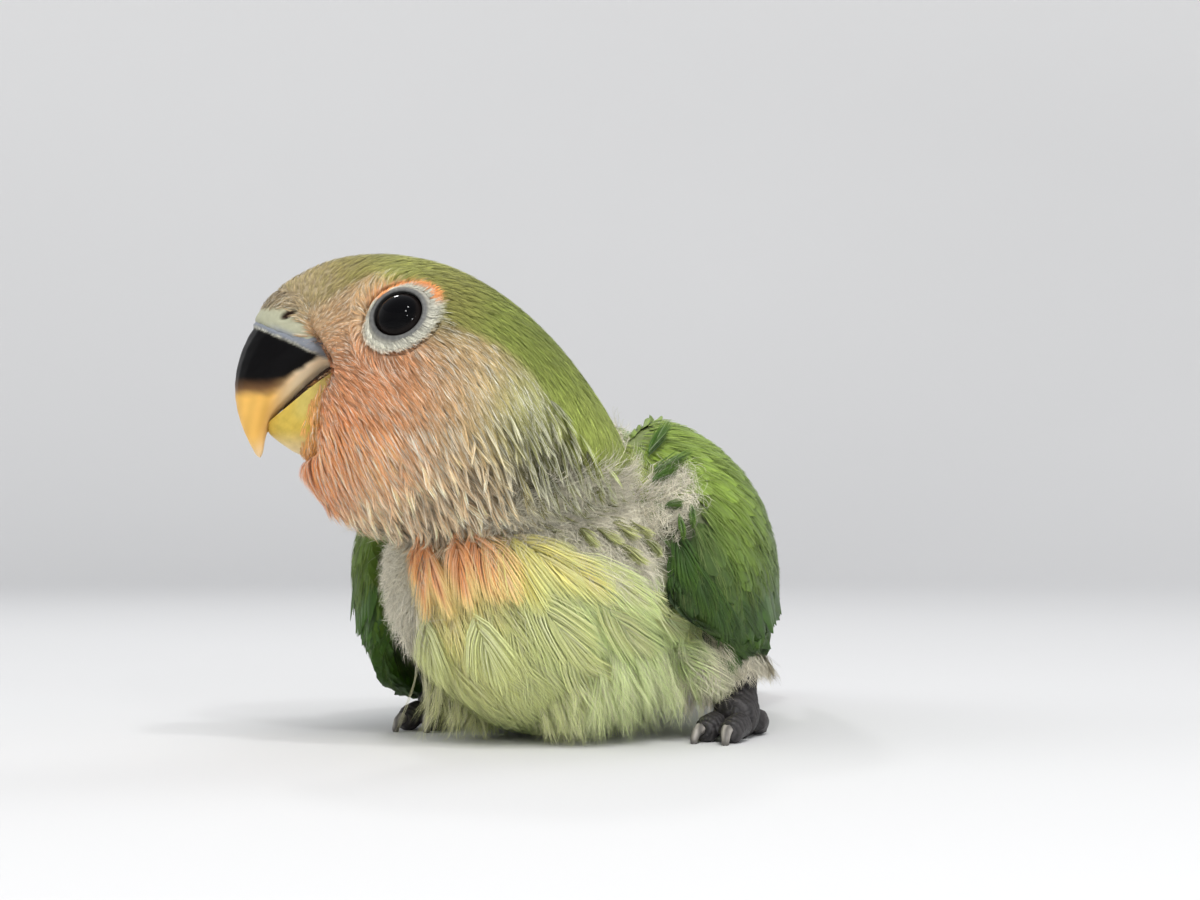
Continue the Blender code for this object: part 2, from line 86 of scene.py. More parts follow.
EYE = {"L": np.array(box_middle("eye_L")), "R": np.array(box_middle("eye_R"))}
FORWARD = np.array((-math.sin(HEAD_TURN), -math.cos(HEAD_TURN), 0.0))
LEFT = np.array((math.cos(HEAD_TURN), -math.sin(HEAD_TURN), 0.0))
UP = np.array((0.0, 0.0, 1.0))
HEAD_ORIGIN = (EYE["L"] + EYE["R"]) / 2 - FORWARD * EYE_IN_HEAD[0] - UP * EYE_IN_HEAD[2]
BODY_ORIGIN = HEAD_ORIGIN - HEAD_IN_BODY
SIDES = (("L", 1), ("R", -1))
EYE_AXIS, EYE_FRAME = {}, {}
for eye_side, eye_sign in SIDES:
    EYE_AXIS[eye_side] = (LEFT * eye_sign * math.cos(EYE_TILT_UP) * math.cos(EYE_TILT_FORWARD)
                          + FORWARD * math.cos(EYE_TILT_UP) * math.sin(EYE_TILT_FORWARD)
                          + UP * math.sin(EYE_TILT_UP))
    turned = Vector(EYE_AXIS[eye_side]).to_track_quat("Z", "Y").to_matrix()
    EYE_FRAME[eye_side] = (np.array(turned.col[0]), np.array(turned.col[1]))

# The front as the photograph shows it, with the right and the way towards the camera.
FRONT_TURN = math.radians(22)
FRONT_RIGHT = np.array((math.cos(FRONT_TURN), math.sin(FRONT_TURN), 0))
FRONT_BACK = np.array((math.sin(FRONT_TURN), -math.cos(FRONT_TURN), 0))
VIEW_REACH = 70


def in_head(points):
    """World millimetres to (forward of the eye line, left, up)."""
    offset = points - HEAD_ORIGIN
    return np.stack((offset @ FORWARD, offset @ LEFT, offset @ UP), axis=-1)


def from_head(points):
    """(forward, left, up) of the head to world millimetres."""
    points = np.asarray(points, dtype=float)
    return (HEAD_ORIGIN + points[..., :1] * FORWARD + points[..., 1:2] * LEFT
            + points[..., 2:3] * UP)


def in_body(points):
    return points - BODY_ORIGIN


def smooth(values, low, high):
    """0 below low, 1 above high and a soft step between, for low above high too."""
    share = np.clip((np.asarray(values, dtype=float) - low) / (high - low), 0.0, 1.0)
    return share * share * (3 - 2 * share)


def mixed(first, second, share):
    """The first values with a share of the second."""
    return first * (1 - share) + second * share


def mottle(points, scale):
    """A smooth tone, about -1 to 1, that wanders over the given millimetres."""
    a = points @ np.array((0.83, 0.41, 0.37)) / scale
    b = points @ np.array((-0.35, 0.87, 0.35)) / scale
    c = points @ np.array((0.31, -0.29, 0.91)) / scale
    return (np.sin(a + 1.7 * np.sin(b * 0.7)) * np.sin(b + 1.3 * np.sin(c * 0.9))
            + 0.5 * np.sin(2.3 * c + 1.1 * np.sin(1.9 * a))) / 1.5


def unit(vectors):
    return vectors / np.maximum(np.linalg.norm(vectors, axis=-1, keepdims=True), 1e-9)


def linear(colour):
    """Display colour, 0 to 1, to light."""
    colour = np.asarray(colour, dtype=float)
    return np.where(colour <= 0.04045, colour / 12.92, ((colour + 0.055) / 1.055) ** 2.4)


# Colours and sizes that a user can change

PALETTE = (
    ("forehead", (0.74, 0.66, 0.52), "Greyish tan feathers above the bill"),
    ("brow_front", (0.68, 0.61, 0.39), "Olive tan of the front of the crown"),
    ("crown", (0.67, 0.68, 0.36), "Olive green of the crown"),
    ("nape", (0.54, 0.60, 0.26), "Yellow green of the nape"),
    ("nape_low", (0.69, 0.75, 0.37), "Paler green where the nape ends"),
    ("eye_stripe", (0.56, 0.52, 0.29), "Buff green behind the eye"),
    ("lore", (0.83, 0.68, 0.50), "Buff in front of the eye"),
    ("peach", (0.84, 0.59, 0.41), "Peach of the face"),
    ("peach_deep", (0.97, 0.68, 0.44), "Deeper peach of the throat"),
    ("orange", (0.97, 0.58, 0.32), "Orange of the chin and the brow line"),
    ("sand", (0.79, 0.68, 0.51), "Sandy rear of the cheek"),
    ("cheek_green", (0.68, 0.69, 0.46), "Grey green where the cheek ends"),
    ("ruff", (0.90, 0.79, 0.64), "Pale tips of the ruff"),
    ("ruff_rear", (0.47, 0.48, 0.26), "Green tips of the ruff's rear"),
    ("breast", (0.95, 0.78, 0.52), "Orange of the breast"),
    ("breast_pale", (0.96, 0.84, 0.55), "Pale orange below it"),
    ("breast_yellow", (0.88, 0.84, 0.47), "Yellow beside it"),
    ("belly", (0.84, 0.86, 0.58), "Yellow green of the belly"),
    ("belly_green", (0.84, 0.91, 0.62), "Green of the flank and lower belly"),
    ("down", (0.86, 0.83, 0.74), "Grey beige down"),
    ("mantle", (0.45, 0.59, 0.24), "Green of the back"),
    ("rump_blue", (0.27, 0.54, 0.70), "Blue of the rump"),
    ("vent", (0.70, 0.75, 0.46), "Pale green under the tail"),
    ("wing_bright", (0.55, 0.65, 0.26), "Bright green of the wing's top"),
    ("wing_green", (0.30, 0.41, 0.09), "Green of the wing coverts"),
    ("wing_dark", (0.22, 0.36, 0.05), "Dark green of the lower wing"),
    ("wing_blue", (0.21, 0.31, 0.16), "Bluish green of the wing's front"),
    ("flight_dark", (0.11, 0.13, 0.12), "Blackish webs of the flight feathers"),
    ("tail_red", (0.80, 0.28, 0.14), "Red band of the side tail feathers"),
    ("eye_white", (0.90, 0.89, 0.82), "Tiny pale feathers round the eye"),
    ("lid", (0.38, 0.38, 0.37), "Bare skin of the lids"),
    ("cere", (0.66, 0.66, 0.56), "Bare skin round the nostrils"),
    ("cere_grey", (0.50, 0.52, 0.55), "Blue grey rear of the cere"),
    ("bill_black", (0.02, 0.018, 0.022), "Black of the upper bill"),
    ("bill_brown", (0.30, 0.14, 0.07), "Smoky brown of the bill's middle"),
    ("bill_amber", (0.93, 0.73, 0.38), "Amber of the bill's tip"),
    ("bill_edge", (0.98, 0.90, 0.76), "Horn along the cutting edge"),
    ("bill_lower", (0.79, 0.68, 0.31), "Yellow of the lower bill"),
    ("gape", (0.15, 0.05, 0.04), "Inside of the mouth"),
    ("foot", (0.19, 0.18, 0.18), "Dark grey scales of the feet"),
    ("claw", (0.60, 0.58, 0.55), "Horn of the claws"),
)


class LovebirdColours(bpy.types.PropertyGroup):
    """Display colours of plumage, skin and horn."""
    __annotations__ = {
        key: FloatVectorProperty(name=key.replace("_", " ").capitalize(), description=words,
                                 subtype="COLOR_GAMMA", size=3, min=0.0, max=1.0, default=tone)
        for key, tone, words in PALETTE}


class LovebirdSizes(bpy.types.PropertyGroup):
    """Sizes of skin, tufts and stage."""
    skin_voxel: FloatProperty(name="Skin detail", description="Spacing of the skin's faces",
                              default=0.75 * MM, unit="LENGTH")
    horn_voxel: FloatProperty(name="Horn detail", description="Spacing of the bill's faces",
                              default=0.19 * MM, unit="LENGTH")
    tuft_density: FloatProperty(name="Tuft density", description="Multiplies the number of tufts",
                                default=1.0, min=0.1, max=2.0, subtype="FACTOR")
    tuft_length: FloatProperty(name="Tuft length", description="Multiplies the tufts' lengths",
                               default=1.0, min=0.3, max=2.0, subtype="FACTOR")
    camera_distance: FloatProperty(name="Camera distance", description="Distance of the camera",
                                   default=0.275, unit="LENGTH")
    lens: FloatProperty(name="Lens", description="Focal length of the camera in millimetres",
                        default=66.0, min=20.0, max=200.0)
    key_light: FloatProperty(name="Key light", description="Power of the main lamp",
                             default=2.2, min=0.0, unit="POWER")
    fill_light: FloatProperty(name="Fill light", description="Power of the side lamp",
                              default=1.0, min=0.0, unit="POWER")
    surround: FloatProperty(name="Surround", description="Brightness of the white surround",
                            default=0.55, min=0.0, max=5.0)


def sizes():
    return bpy.context.scene.lovebird_sizes


def shade(key):
    """A palette colour as light."""
    return linear(tuple(getattr(bpy.context.scene.lovebird_colours, key)))


# Patches of each palette colour, as a place followed by its reach. Head places are (forward, up).
HEAD_PATCHES = {
    "forehead": ((13.5, 2.5, 2.4), (10, 3, 2.2)),
    "brow_front": ((6, 6, 3), (9, 0, 1.6)),
    "crown": ((0, 7.5, 3.6), (-7, 5, 3.6)),
    "nape": ((-13, 0, 4), (-19, -6, 4)),
    "nape_low": ((-24, -14, 3.6),),
    "eye_stripe": ((-6.5, 0.6, 2.4),),
    "lore": ((6, -1.5, 2.2), (8.5, -3, 1.8)),
    "peach": ((7, -6.5, 2.4), (1, -7.5, 2.6), (4, -12, 3.2), (-3, -11, 3)),
    "peach_deep": ((8, -16, 3), (2, -17, 3.2)),
    "orange": ((7.5, -20, 2.4), (5.5, -13.5, 1.4)),
    "ruff": ((2.5, -23, 2.6), (-5, -21, 3.2), (-10, -22, 3)),
    "sand": ((-8, -8.5, 3.2), (-7, -14, 3.4)),
    "cheek_green": ((-13.2, -12.5, 3.2),),
    "ruff_rear": ((-17, -19, 3.2), (-21, -21, 3.4)),
}
BODY_PATCHES = {
    "breast": ((-4.5, -27, 23, 3.2), (-0.5, -28, 21, 2.6)),
    "breast_pale": ((-4, -28, 15.5, 3),),
    "breast_yellow": ((6, -27, 20.5, 3.2), (-2, -27, 10, 3.4)),
    "belly": ((5, -26, 13, 5), (-7, -24, 8, 4.5), (4, -22, 5, 4.5)),
    "belly_green": ((14, -20, 14, 5), (13, -8, 5, 6), (17, -13, 11, 4.5), (0, 12, 1, 9),
                    (15, 8, 12, 7), (-15, 8, 12, 7)),
    "down": ((-12.5, -24, 19, 3.4), (-15, -20, 14, 3.2), (12, -21, 27, 4.5), (17, -16, 24, 4),
             (-14, -18, 27, 5)),
    "mantle": ((0, -4, 40, 9), (0, 10, 38, 9), (0, 22, 33, 8)),
    "rump_blue": ((0, 37, 25, 7), (0, 46, 19, 6)),
    "vent": ((0, 34, 5, 8), (0, 44, 9, 6)),
    "wing_green": ((16, 6, 28, 7), (-16, 6, 28, 7)),
}
WING_PATCHES = {
    "wing_bright": ((19, -4, 38, 5), (24, -6, 30, 5), (14, 8, 40, 6)),
    "wing_blue": ((22, -14, 21, 3.4), (21, -13, 27, 2.6)),
    "wing_green": ((27, -2, 24, 6), (22, 12, 30, 8), (18, 24, 26, 8)),
    "wing_dark": ((25, -4, 12, 4.5), (24, 10, 14, 7), (17, 30, 14, 8)),
}
THIGH_PATCHES = {
    "down": ((22.5, -5, 8, 3.6),),
    "belly_green": ((17, -6, 6, 3),),
    "wing_green": ((21, -4, 13, 2.4),),
    "vent": ((19, 6, 8, 5),),
}


def blend_patches(places, patches):
    """Colour at places that mixes the patches round them."""
    total = np.zeros((len(places), 3))
    weights = np.full(len(places), 1e-12)
    for key, spots in patches.items():
        for *centre, reach in spots:
            gap = np.linalg.norm(places - np.array(centre), axis=1) / reach
            weight = np.exp(-np.minimum(gap * gap * 0.5, 60.0)) + 1e-9 / (1 + gap ** 2)
            total += weight[:, None] * shade(key)
            weights += weight
    return total / weights[:, None]


def nape_line(forward):
    """Height on the side of the head where the green of the nape begins."""
    return np.interp(forward, (-27, -23, -20.5, -17.2, -15.3, -12, -6, -2, 3, 8, 14),
                     (-23, -18.9, -16.0, -11.7, -8.3, -5.4, -2.4, 2.4, 3.6, 0.6, -0.5))


GREENS = ("crown", "nape", "nape_low", "brow_front")
CROWN_COLOURS = GREENS + ("forehead", "eye_stripe")


def head_colour(points):
    """Green above the nape's line, warm below it, with an orange arc over the eye."""
    place = in_head(points)[:, (0, 2)]
    u, z = place.T
    colour = blend_patches(place, HEAD_PATCHES)
    above = smooth(z - nape_line(u), -0.7, 0.9)
    green = blend_patches(place, {key: HEAD_PATCHES[key] for key in CROWN_COLOURS})
    warm = blend_patches(place, {key: spots for key, spots in HEAD_PATCHES.items()
                                 if key not in GREENS})
    colour = 0.25 * colour + 0.75 * mixed(warm, green, above[:, None])
    reach = eye_reach(points)
    arc = np.exp(-((reach - 4.6) / 0.6) ** 2) * smooth(z, -0.3, 1.2) * 0.85
    colour = mixed(colour, shade("peach_deep"), arc[:, None])
    # Painted shade: a small dark spot in the notch behind the eye.
    notch_shade = np.exp(-(((u + 6.3) / 0.7) ** 2 + ((z + 3.0) / 0.6) ** 2))
    return colour * (1 - 0.6 * notch_shade)[:, None]


def body_colour(points):
    return blend_patches(in_body(points), BODY_PATCHES)


def wing_colour(points):
    """Both wings alike, but for the bluish front that only the left one shows."""
    place = in_body(points).copy()
    left = place[:, :1] > 0
    place[:, 0] = np.abs(place[:, 0])
    plain = dict(WING_PATCHES)
    plain["wing_green"] += plain.pop("wing_blue")
    return mixed(blend_patches(place, plain), blend_patches(place, WING_PATCHES), left)


def thigh_colour(points):
    place = in_body(points).copy()
    place[:, 0] = np.abs(place[:, 0])
    return blend_patches(place, THIGH_PATCHES)


def from_eye(points, side):
    """How far points lie out along an eye's axis and across from it, in millimetres."""
    offset = points - EYE[side]
    out = offset @ EYE_AXIS[side]
    return out, np.linalg.norm(offset - out[:, None] * EYE_AXIS[side], axis=1)


def eye_reach(points):
    """Distance from the axis of the nearer eye, in millimetres."""
    best = np.full(len(points), 99.0)
    for side in "LR":
        out, across = from_eye(points, side)
        best = np.minimum(best, np.where(out > 0, across, 99.0))
    return best


# Mesh helpers

def new_primitive(kind, name, **settings):
    """A named primitive, which is all that stays selected."""
    bpy.ops.object.select_all(action="DESELECT")
    getattr(bpy.ops.mesh, "primitive_%s_add" % kind)(**settings)
    piece = bpy.context.object
    piece.name = piece.data.name = name
    return piece


def activate(piece):
    bpy.ops.object.select_all(action="DESELECT")
    piece.select_set(True)
    bpy.context.view_layer.objects.active = piece


def apply_modifier(piece, kind, **settings):
    modifier = piece.modifiers.new(kind.capitalize(), kind)
    for key, value in settings.items():
        setattr(modifier, key, value)
    activate(piece)
    bpy.ops.object.modifier_apply(modifier=modifier.name)


def turn_outwards(piece):
    """Makes every face point out of a closed piece."""
    activate(piece)
    bpy.ops.object.mode_set(mode="EDIT")
    bpy.ops.mesh.select_all(action="SELECT")
    bpy.ops.mesh.normals_make_consistent(inside=False)
    bpy.ops.object.mode_set(mode="OBJECT")
    piece.data.shade_smooth()


def read_points(piece):
    """Vertices of a piece in millimetres."""
    points = np.empty(len(piece.data.vertices) * 3)
    piece.data.vertices.foreach_get("co", points)
    return points.reshape(-1, 3) / MM


def read_normals(piece):
    normals = np.empty(len(piece.data.vertices) * 3)
    piece.data.vertex_normals.foreach_get("vector", normals)
    return normals.reshape(-1, 3)


def write_points(piece, points):
    piece.data.vertices.foreach_set("co", (points * MM).ravel())
    piece.data.update()


def keep_above(points, height):
    """Raises the points that lie lower than a height over the floor."""
    points[:, 2] = np.maximum(points[:, 2], height)


def paint(piece, colours):
    """Lays a colour on every vertex."""
    layer = piece.data.color_attributes.new("plumage", "FLOAT_COLOR", "POINT")
    layer.data.foreach_set("color", np.column_stack((colours, np.ones(len(colours)))).ravel())
    piece.data.color_attributes.active_color = layer


def joined_copy(name, nodes, swell=0.0):
    """One mesh of closed shells copied from solids of the frame, swollen in millimetres."""
    shell = bmesh.new()
    for node in nodes:
        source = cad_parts[node]
        one = bmesh.new()
        one.from_mesh(source.data)
        one.transform(source.matrix_world)
        bmesh.ops.remove_doubles(one, verts=one.verts, dist=1e-6)
        one.normal_update()
        if swell:
            for vertex, normal in [(v, v.normal.copy()) for v in one.verts]:
                vertex.co += normal * swell * MM
        part = bpy.data.meshes.new("part")
        one.to_mesh(part)
        one.free()
        shell.from_mesh(part)
        bpy.data.meshes.remove(part)
    mesh = bpy.data.meshes.new(name)
    shell.to_mesh(mesh)
    shell.free()
    piece = bpy.data.objects.new(name, mesh)
    bpy.context.scene.collection.objects.link(piece)
    return piece


def remeshed_copy(name, nodes, swell, voxel, rounds):
    piece = joined_copy(name, nodes, swell)
    apply_modifier(piece, "REMESH", mode="VOXEL", voxel_size=voxel)
    apply_modifier(piece, "SMOOTH", factor=0.5, iterations=rounds)
    piece.data.shade_smooth()
    return piece


def mesh_from_arrays(name, points, corners, counts, colours, uvs, extra_uvs=None):
    """A mesh from points in millimetres, face corners, corners per face, colours and UVs."""
    mesh = bpy.data.meshes.new(name)
    mesh.vertices.add(len(points))
    mesh.vertices.foreach_set("co", (points * MM).astype(np.float32).ravel())
    mesh.loops.add(len(corners))
    mesh.loops.foreach_set("vertex_index", corners.astype(np.int32))
    mesh.polygons.add(len(counts))
    starts = np.concatenate(([0], np.cumsum(counts)[:-1]))
    mesh.polygons.foreach_set("loop_start", starts.astype(np.int32))
    mesh.update(calc_edges=True)
    layer = mesh.uv_layers.new(name="OFBake")
    layer.uv.foreach_set("vector", uvs[corners].astype(np.float32).ravel())
    if extra_uvs is not None:
        layer = mesh.uv_layers.new(name="Vane")
        layer.uv.foreach_set("vector", extra_uvs[corners].astype(np.float32).ravel())
    piece = bpy.data.objects.new(name, mesh)
    bpy.context.scene.collection.objects.link(piece)
    paint(piece, colours)
    mesh.shade_smooth()
    return piece


def settle_piece(piece, slot_name, *nodes):
    """Hangs a finished piece on the root and hides the solids it replaces; slot_name is not used.
    """
    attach(piece, "root")
    if nodes:
        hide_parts(*nodes)


# Materials

def new_material(name, **sockets):
    material = bpy.data.materials.new(name)
    material.use_nodes = True
    tree = material.node_tree
    shader = tree.nodes["Principled BSDF"]
    for key, value in sockets.items():
        shader.inputs[key.replace("_", " ")].default_value = value
    return material, tree, shader


def add_node(tree, kind, **values):
    node = tree.nodes.new(kind)
    for key, value in values.items():
        socket = key.replace("_", " ")
        if socket in node.inputs:
            node.inputs[socket].default_value = value
        else:
            setattr(node, key, value)
    return node


def join(tree, source, output, target, socket):
    tree.links.new(source.outputs[output], target.inputs[socket])


def painted_colour(tree, shader, scale, amount, detail=4.0):
    """Vertex colour with a fine mottle, into the base colour."""
    colour = add_node(tree, "ShaderNodeVertexColor", layer_name="plumage")
    place = add_node(tree, "ShaderNodeTexCoord")
    noise = add_node(tree, "ShaderNodeTexNoise", Scale=scale, Detail=detail, Roughness=0.6)
    spread = add_node(tree, "ShaderNodeMapRange", From_Min=0.25, From_Max=0.75,
                      To_Min=1 - amount, To_Max=1 + amount)
    product = add_node(tree, "ShaderNodeVectorMath", operation="MULTIPLY")
    join(tree, place, "Object", noise, "Vector")
    join(tree, noise, "Fac", spread, "Value")
    join(tree, colour, "Color", product, 0)
    join(tree, spread, "Result", product, 1)
    join(tree, product, "Vector", shader, "Base Color")


def add_bump(tree, shader, source, output, strength, distance):
    bump = add_node(tree, "ShaderNodeBump", Strength=strength, Distance=distance)
    join(tree, source, output, bump, "Height")
    join(tree, bump, "Normal", shader, "Normal")


def feather_material(name="Soft barbs"):
    """Soft barbs: matt, with a little sheen and fine mottling."""
    if name in bpy.data.materials:
        return bpy.data.materials[name]
    material, tree, shader = new_material(name, Roughness=0.62, Specular_IOR_Level=0.28,
                                          Sheen_Weight=0.12, Sheen_Roughness=0.5)
    painted_colour(tree, shader, 2600.0, 0.10)
    return material


def vane_material(name="Closed vanes"):
    """Closed vanes: barbs that slant from the shaft as fine ridges."""
    if name in bpy.data.materials:
        return bpy.data.materials[name]
    material, tree, shader = new_material(name, Roughness=0.5, Specular_IOR_Level=0.35,
                                          Sheen_Weight=0.1, Sheen_Roughness=0.45)
    painted_colour(tree, shader, 1800.0, 0.10)
    vane = add_node(tree, "ShaderNodeUVMap", uv_map="Vane")
    split = add_node(tree, "ShaderNodeSeparateXYZ")
    across = add_node(tree, "ShaderNodeMath", operation="ABSOLUTE")
    slant = add_node(tree, "ShaderNodeMath", operation="SUBTRACT")
    ridges = add_node(tree, "ShaderNodeMath", operation="MULTIPLY")
    ridges.inputs[1].default_value = 190.0
    wave = add_node(tree, "ShaderNodeMath", operation="SINE")
    join(tree, vane, "UV", split, "Vector")
    join(tree, split, "X", across, 0)
    join(tree, split, "Y", slant, 0)
    join(tree, across, "Value", slant, 1)
    join(tree, slant, "Value", ridges, 0)
    join(tree, ridges, "Value", wave, 0)
    add_bump(tree, shader, wave, "Value", 0.35, 0.00006)
    return material


def skin_material(name, roughness, bump_scale, bump_depth, amount, **sockets):
    """Bare skin or horn with painted colours, mottling and a fine pebbled grain."""
    material, tree, shader = new_material(name, Roughness=roughness, **sockets)
    painted_colour(tree, shader, bump_scale * 0.6, amount)
    place = add_node(tree, "ShaderNodeTexCoord")
    grain = add_node(tree, "ShaderNodeTexNoise", Scale=bump_scale, Detail=3.0, Roughness=0.55)
    join(tree, place, "Object", grain, "Vector")
    add_bump(tree, shader, grain, "Fac", 0.6, bump_depth)
    return material


# The skin

FLESH = ("head", "neck", "trunk", "rump", "thigh_L", "thigh_R", "wing_L", "wing_R")
SWELL = 0.35
CELL_PRIMES = (73856093, 19349663, 83492791)


def labelled(labels, *nodes):
    """Which labels are those of these solids."""
    return np.isin(labels, [FLESH.index(node) for node in nodes])


class Surface:
    """A mesh that feathers are laid on, answering where its nearest point is.

    A round primitive has its faces in a new order each time, so they are put in order first.
    """

    def __init__(self, piece, in_order=True):
        self.points = read_points(piece)
        self.normals = read_normals(piece)
        faces = [tuple(face.vertices) for face in piece.data.polygons]
        if not in_order:
            faces.sort()
        self.tree = BVHTree.FromPolygons([Vector(p) for p in self.points], faces)
        self.corners = np.array([face if len(face) > 3 else face + face[2:] for face in faces])

    def settle(self, points):
        """Nearest places on the surface and their smooth normals."""
        nearest = np.empty_like(points)
        faces = np.empty(len(points), dtype=int)
        find = self.tree.find_nearest
        for i, point in enumerate(points):
            place, _, index, _ = find(point)
            nearest[i] = place
            faces[i] = index
        corners = self.corners[faces]
        gaps = np.linalg.norm(self.points[corners] - nearest[:, None], axis=2)
        weights = 1 / (gaps ** 2 + 0.01)
        normals = unit((self.normals[corners] * weights[:, :, None]).sum(axis=1))
        return nearest, normals

    def scatter(self, spacing, rng, wanted):
        """Roots about spacing apart on the faces whose middle is wanted, spacing per face."""
        tris = np.concatenate((self.corners[:, (0, 1, 2)], self.corners[:, (0, 2, 3)]))
        owner = np.concatenate((np.arange(len(self.corners)),) * 2)
        a, b, c = (self.points[tris[:, i]] for i in range(3))
        area = np.linalg.norm(np.cross(b - a, c - a), axis=1) / 2
        middle = self.points[self.corners].mean(axis=1)
        keep = wanted(middle)[owner]
        tris, owner, area = tris[keep], owner[keep], area[keep]
        if not len(tris):
            return np.zeros((0, 3))
        count = int(area.sum() / spacing ** 2 * 5)
        pick = rng.choice(len(tris), size=count, p=area / area.sum())
        r1, r2 = np.sqrt(rng.random(count)), rng.random(count)
        a, b, c = (self.points[tris[pick, i]] for i in range(3))
        places = (a * (1 - r1)[:, None] + b * (r1 * (1 - r2))[:, None] + c * (r1 * r2)[:, None])
        cells = np.floor(places / spacing + 0.137).astype(np.int64)
        keys = cells * CELL_PRIMES
        keys = keys[:, 0] ^ keys[:, 1] ^ keys[:, 2]
        _, first = np.unique(keys, return_index=True)
        return places[np.sort(first)]


def coat_depth(points, labels):
    """How far the skin lies inside the plumage, in millimetres."""
    head = in_head(points)
    body = in_body(points)
    depth = np.full(len(points), 1.3)
    on_head = labelled(labels, "head")
    face = smooth(head[:, 0], 10.5, -4)
    low = smooth(head[:, 2], -12, -22)
    depth = np.where(on_head, 0.3 + 0.8 * face + 0.6 * low * face, depth)
    depth = np.where(labelled(labels, "trunk") & (body[:, 1] < 4), 1.9, depth)
    depth = np.where(labelled(labels, "wing_L", "wing_R"), 0.45, depth)
    near_eye = smooth(eye_reach(points), 8.0, 4.5)
    return np.where(on_head, depth * (1 - 0.6 * near_eye), depth)


def flesh_labels(points):
    """Index in FLESH of the solid nearest to each point."""
    triangles, owners, vertices = [], [], []
    for index, node in enumerate(FLESH):
        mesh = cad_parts[node].data
        base = len(vertices)
        vertices.extend(Vector(v.co) / MM for v in mesh.vertices)
        for face in mesh.polygons:
            triangles.append([base + i for i in face.vertices])
            owners.append(index)
    tree = BVHTree.FromPolygons(vertices, triangles)
    owners = np.array(owners)
    return owners[[tree.find_nearest(point)[2] for point in points]]


def make_skin():
    """One skin over head, body, thighs and wings, inside the plumage by the coat's depth."""
    skin = remeshed_copy("skin", FLESH, SWELL, sizes().skin_voxel, 6)
    points = read_points(skin)
    labels = flesh_labels(points)
    depth = coat_depth(points, labels)
    points = points - read_normals(skin) * (SWELL + depth)[:, None]
    for side in "LR":
        out, across = from_eye(points, side)
        over = np.maximum(across - 3.5, 0)
        mound = 1.5 - 0.35 * over - 0.16 * over ** 2 - 1.3 * smooth(across, 3.3, 2.7)
        near = (out > -8) & (across < 7.5)
        level = np.where(near & (across < 4.9), np.maximum(mound, out * (across > 3.6)),
                         np.where(near, np.maximum(out, mound), out))
        points += EYE_AXIS[side] * (level - out)[:, None]
    place = in_head(points)
    limit = np.interp(place[:, 2], (-19.0, -17.6, -16.4, -9.5, -7.6, -6.2),
                      (20, 11.2, 8.5, 8.1, 8.3, 20))
    excess = np.maximum(place[:, 0] - limit, 0) * (labels == 0)
    points -= FORWARD * excess[:, None]
    keep_above(points, 0.05)
    write_points(skin, points)
    apply_modifier(skin, "SMOOTH", factor=0.5, iterations=3)
    points = read_points(skin)
    keep_above(points, 0.05)
    write_points(skin, points)
    paint(skin, skin_colour(points, labels))
    skin.data.materials.append(skin_material("Downy skin", 0.75, 1500.0, 0.0001, 0.2))
    settle_piece(skin, "down", *FLESH)
    return skin, labels


def skin_colour(points, labels):
    """The coat's own markings, darkened by painted shade where the skin shows between the tufts,
    with a little grey of the down.
    """
    colours = body_colour(points)
    for nodes, colour_of in ((("head",), head_colour), (("wing_L", "wing_R"), wing_colour),
                             (("thigh_L", "thigh_R"), thigh_colour)):
        own = labelled(labels, *nodes)
        colours[own] = colour_of(points[own])
    # Painted shade: the skin is darker between the tufts, most of all on wings and thighs.
    light = np.where(labelled(labels, "head", "trunk"), 0.62, 0.45)
    return colours * light[:, None] + 0.12 * shade("down")


# Laying feathers

def lay_guides(surface, roots, flow, lengths, steps, stiff, yaw, rng):
    """Lines that run from the roots along the flow, as (points, normals) per step.

    A stiff line keeps its heading, and yaw is how far the lines stray from the flow.
    """
    turn = rng.normal(0, yaw, len(roots))
    place, normal = surface.settle(roots)
    points, normals = [place], [normal]
    step = (lengths / steps)[:, None]
    heading = None
    for _ in range(steps):
        wish = flow(place)
        wish = unit(wish - normal * (wish * normal).sum(axis=1, keepdims=True))
        side = np.cross(normal, wish)
        wish = wish * np.cos(turn)[:, None] + side * np.sin(turn)[:, None]
        heading = wish if heading is None else unit(mixed(wish, heading, stiff))
        free = place + heading * step
        near, normal = surface.settle(free)
        above = ((free - near) * normal).sum(axis=1, keepdims=True)
        place = np.where(above > 0, near + (free - near) * stiff, near)
        points.append(place)
        normals.append(normal)
    return np.stack(points, axis=1), np.stack(normals, axis=1)


def along(values, shares):
    """Reads guide values at shares 0 to 1 of the guide, for (tuft, strip) shares."""
    last = values.shape[1] - 1
    place = np.clip(shares, 0, 1) * last
    index = np.minimum(place.astype(int), last - 1)
    part = (place - index)[..., None]
    rows = np.arange(len(values))[:, None]
    return mixed(values[rows, index], values[rows, index + 1], part)


def unwrap(roots, centre, axis):
    """Places on an unwrap of the form round a centre, stretched over the unit square."""
    axis = unit(np.asarray(axis, dtype=float))
    aside = unit(np.cross(axis, (0.31, 0.17, 0.93)))
    third = np.cross(axis, aside)
    offset = unit(roots - centre)
    round_about = np.arctan2(offset @ third, offset @ aside)
    height = np.arcsin(np.clip(offset @ axis, -1, 1))
    places = np.column_stack((round_about, height))
    low, high = places.min(axis=0), places.max(axis=0)
    return 0.01 + 0.98 * (places - low) / np.maximum(high - low, 1e-6)


STRIP_WIDTHS = (0.4, 0.5, 0.42, 0.36, 0.3, 0.25)
TIP_START = 0.35


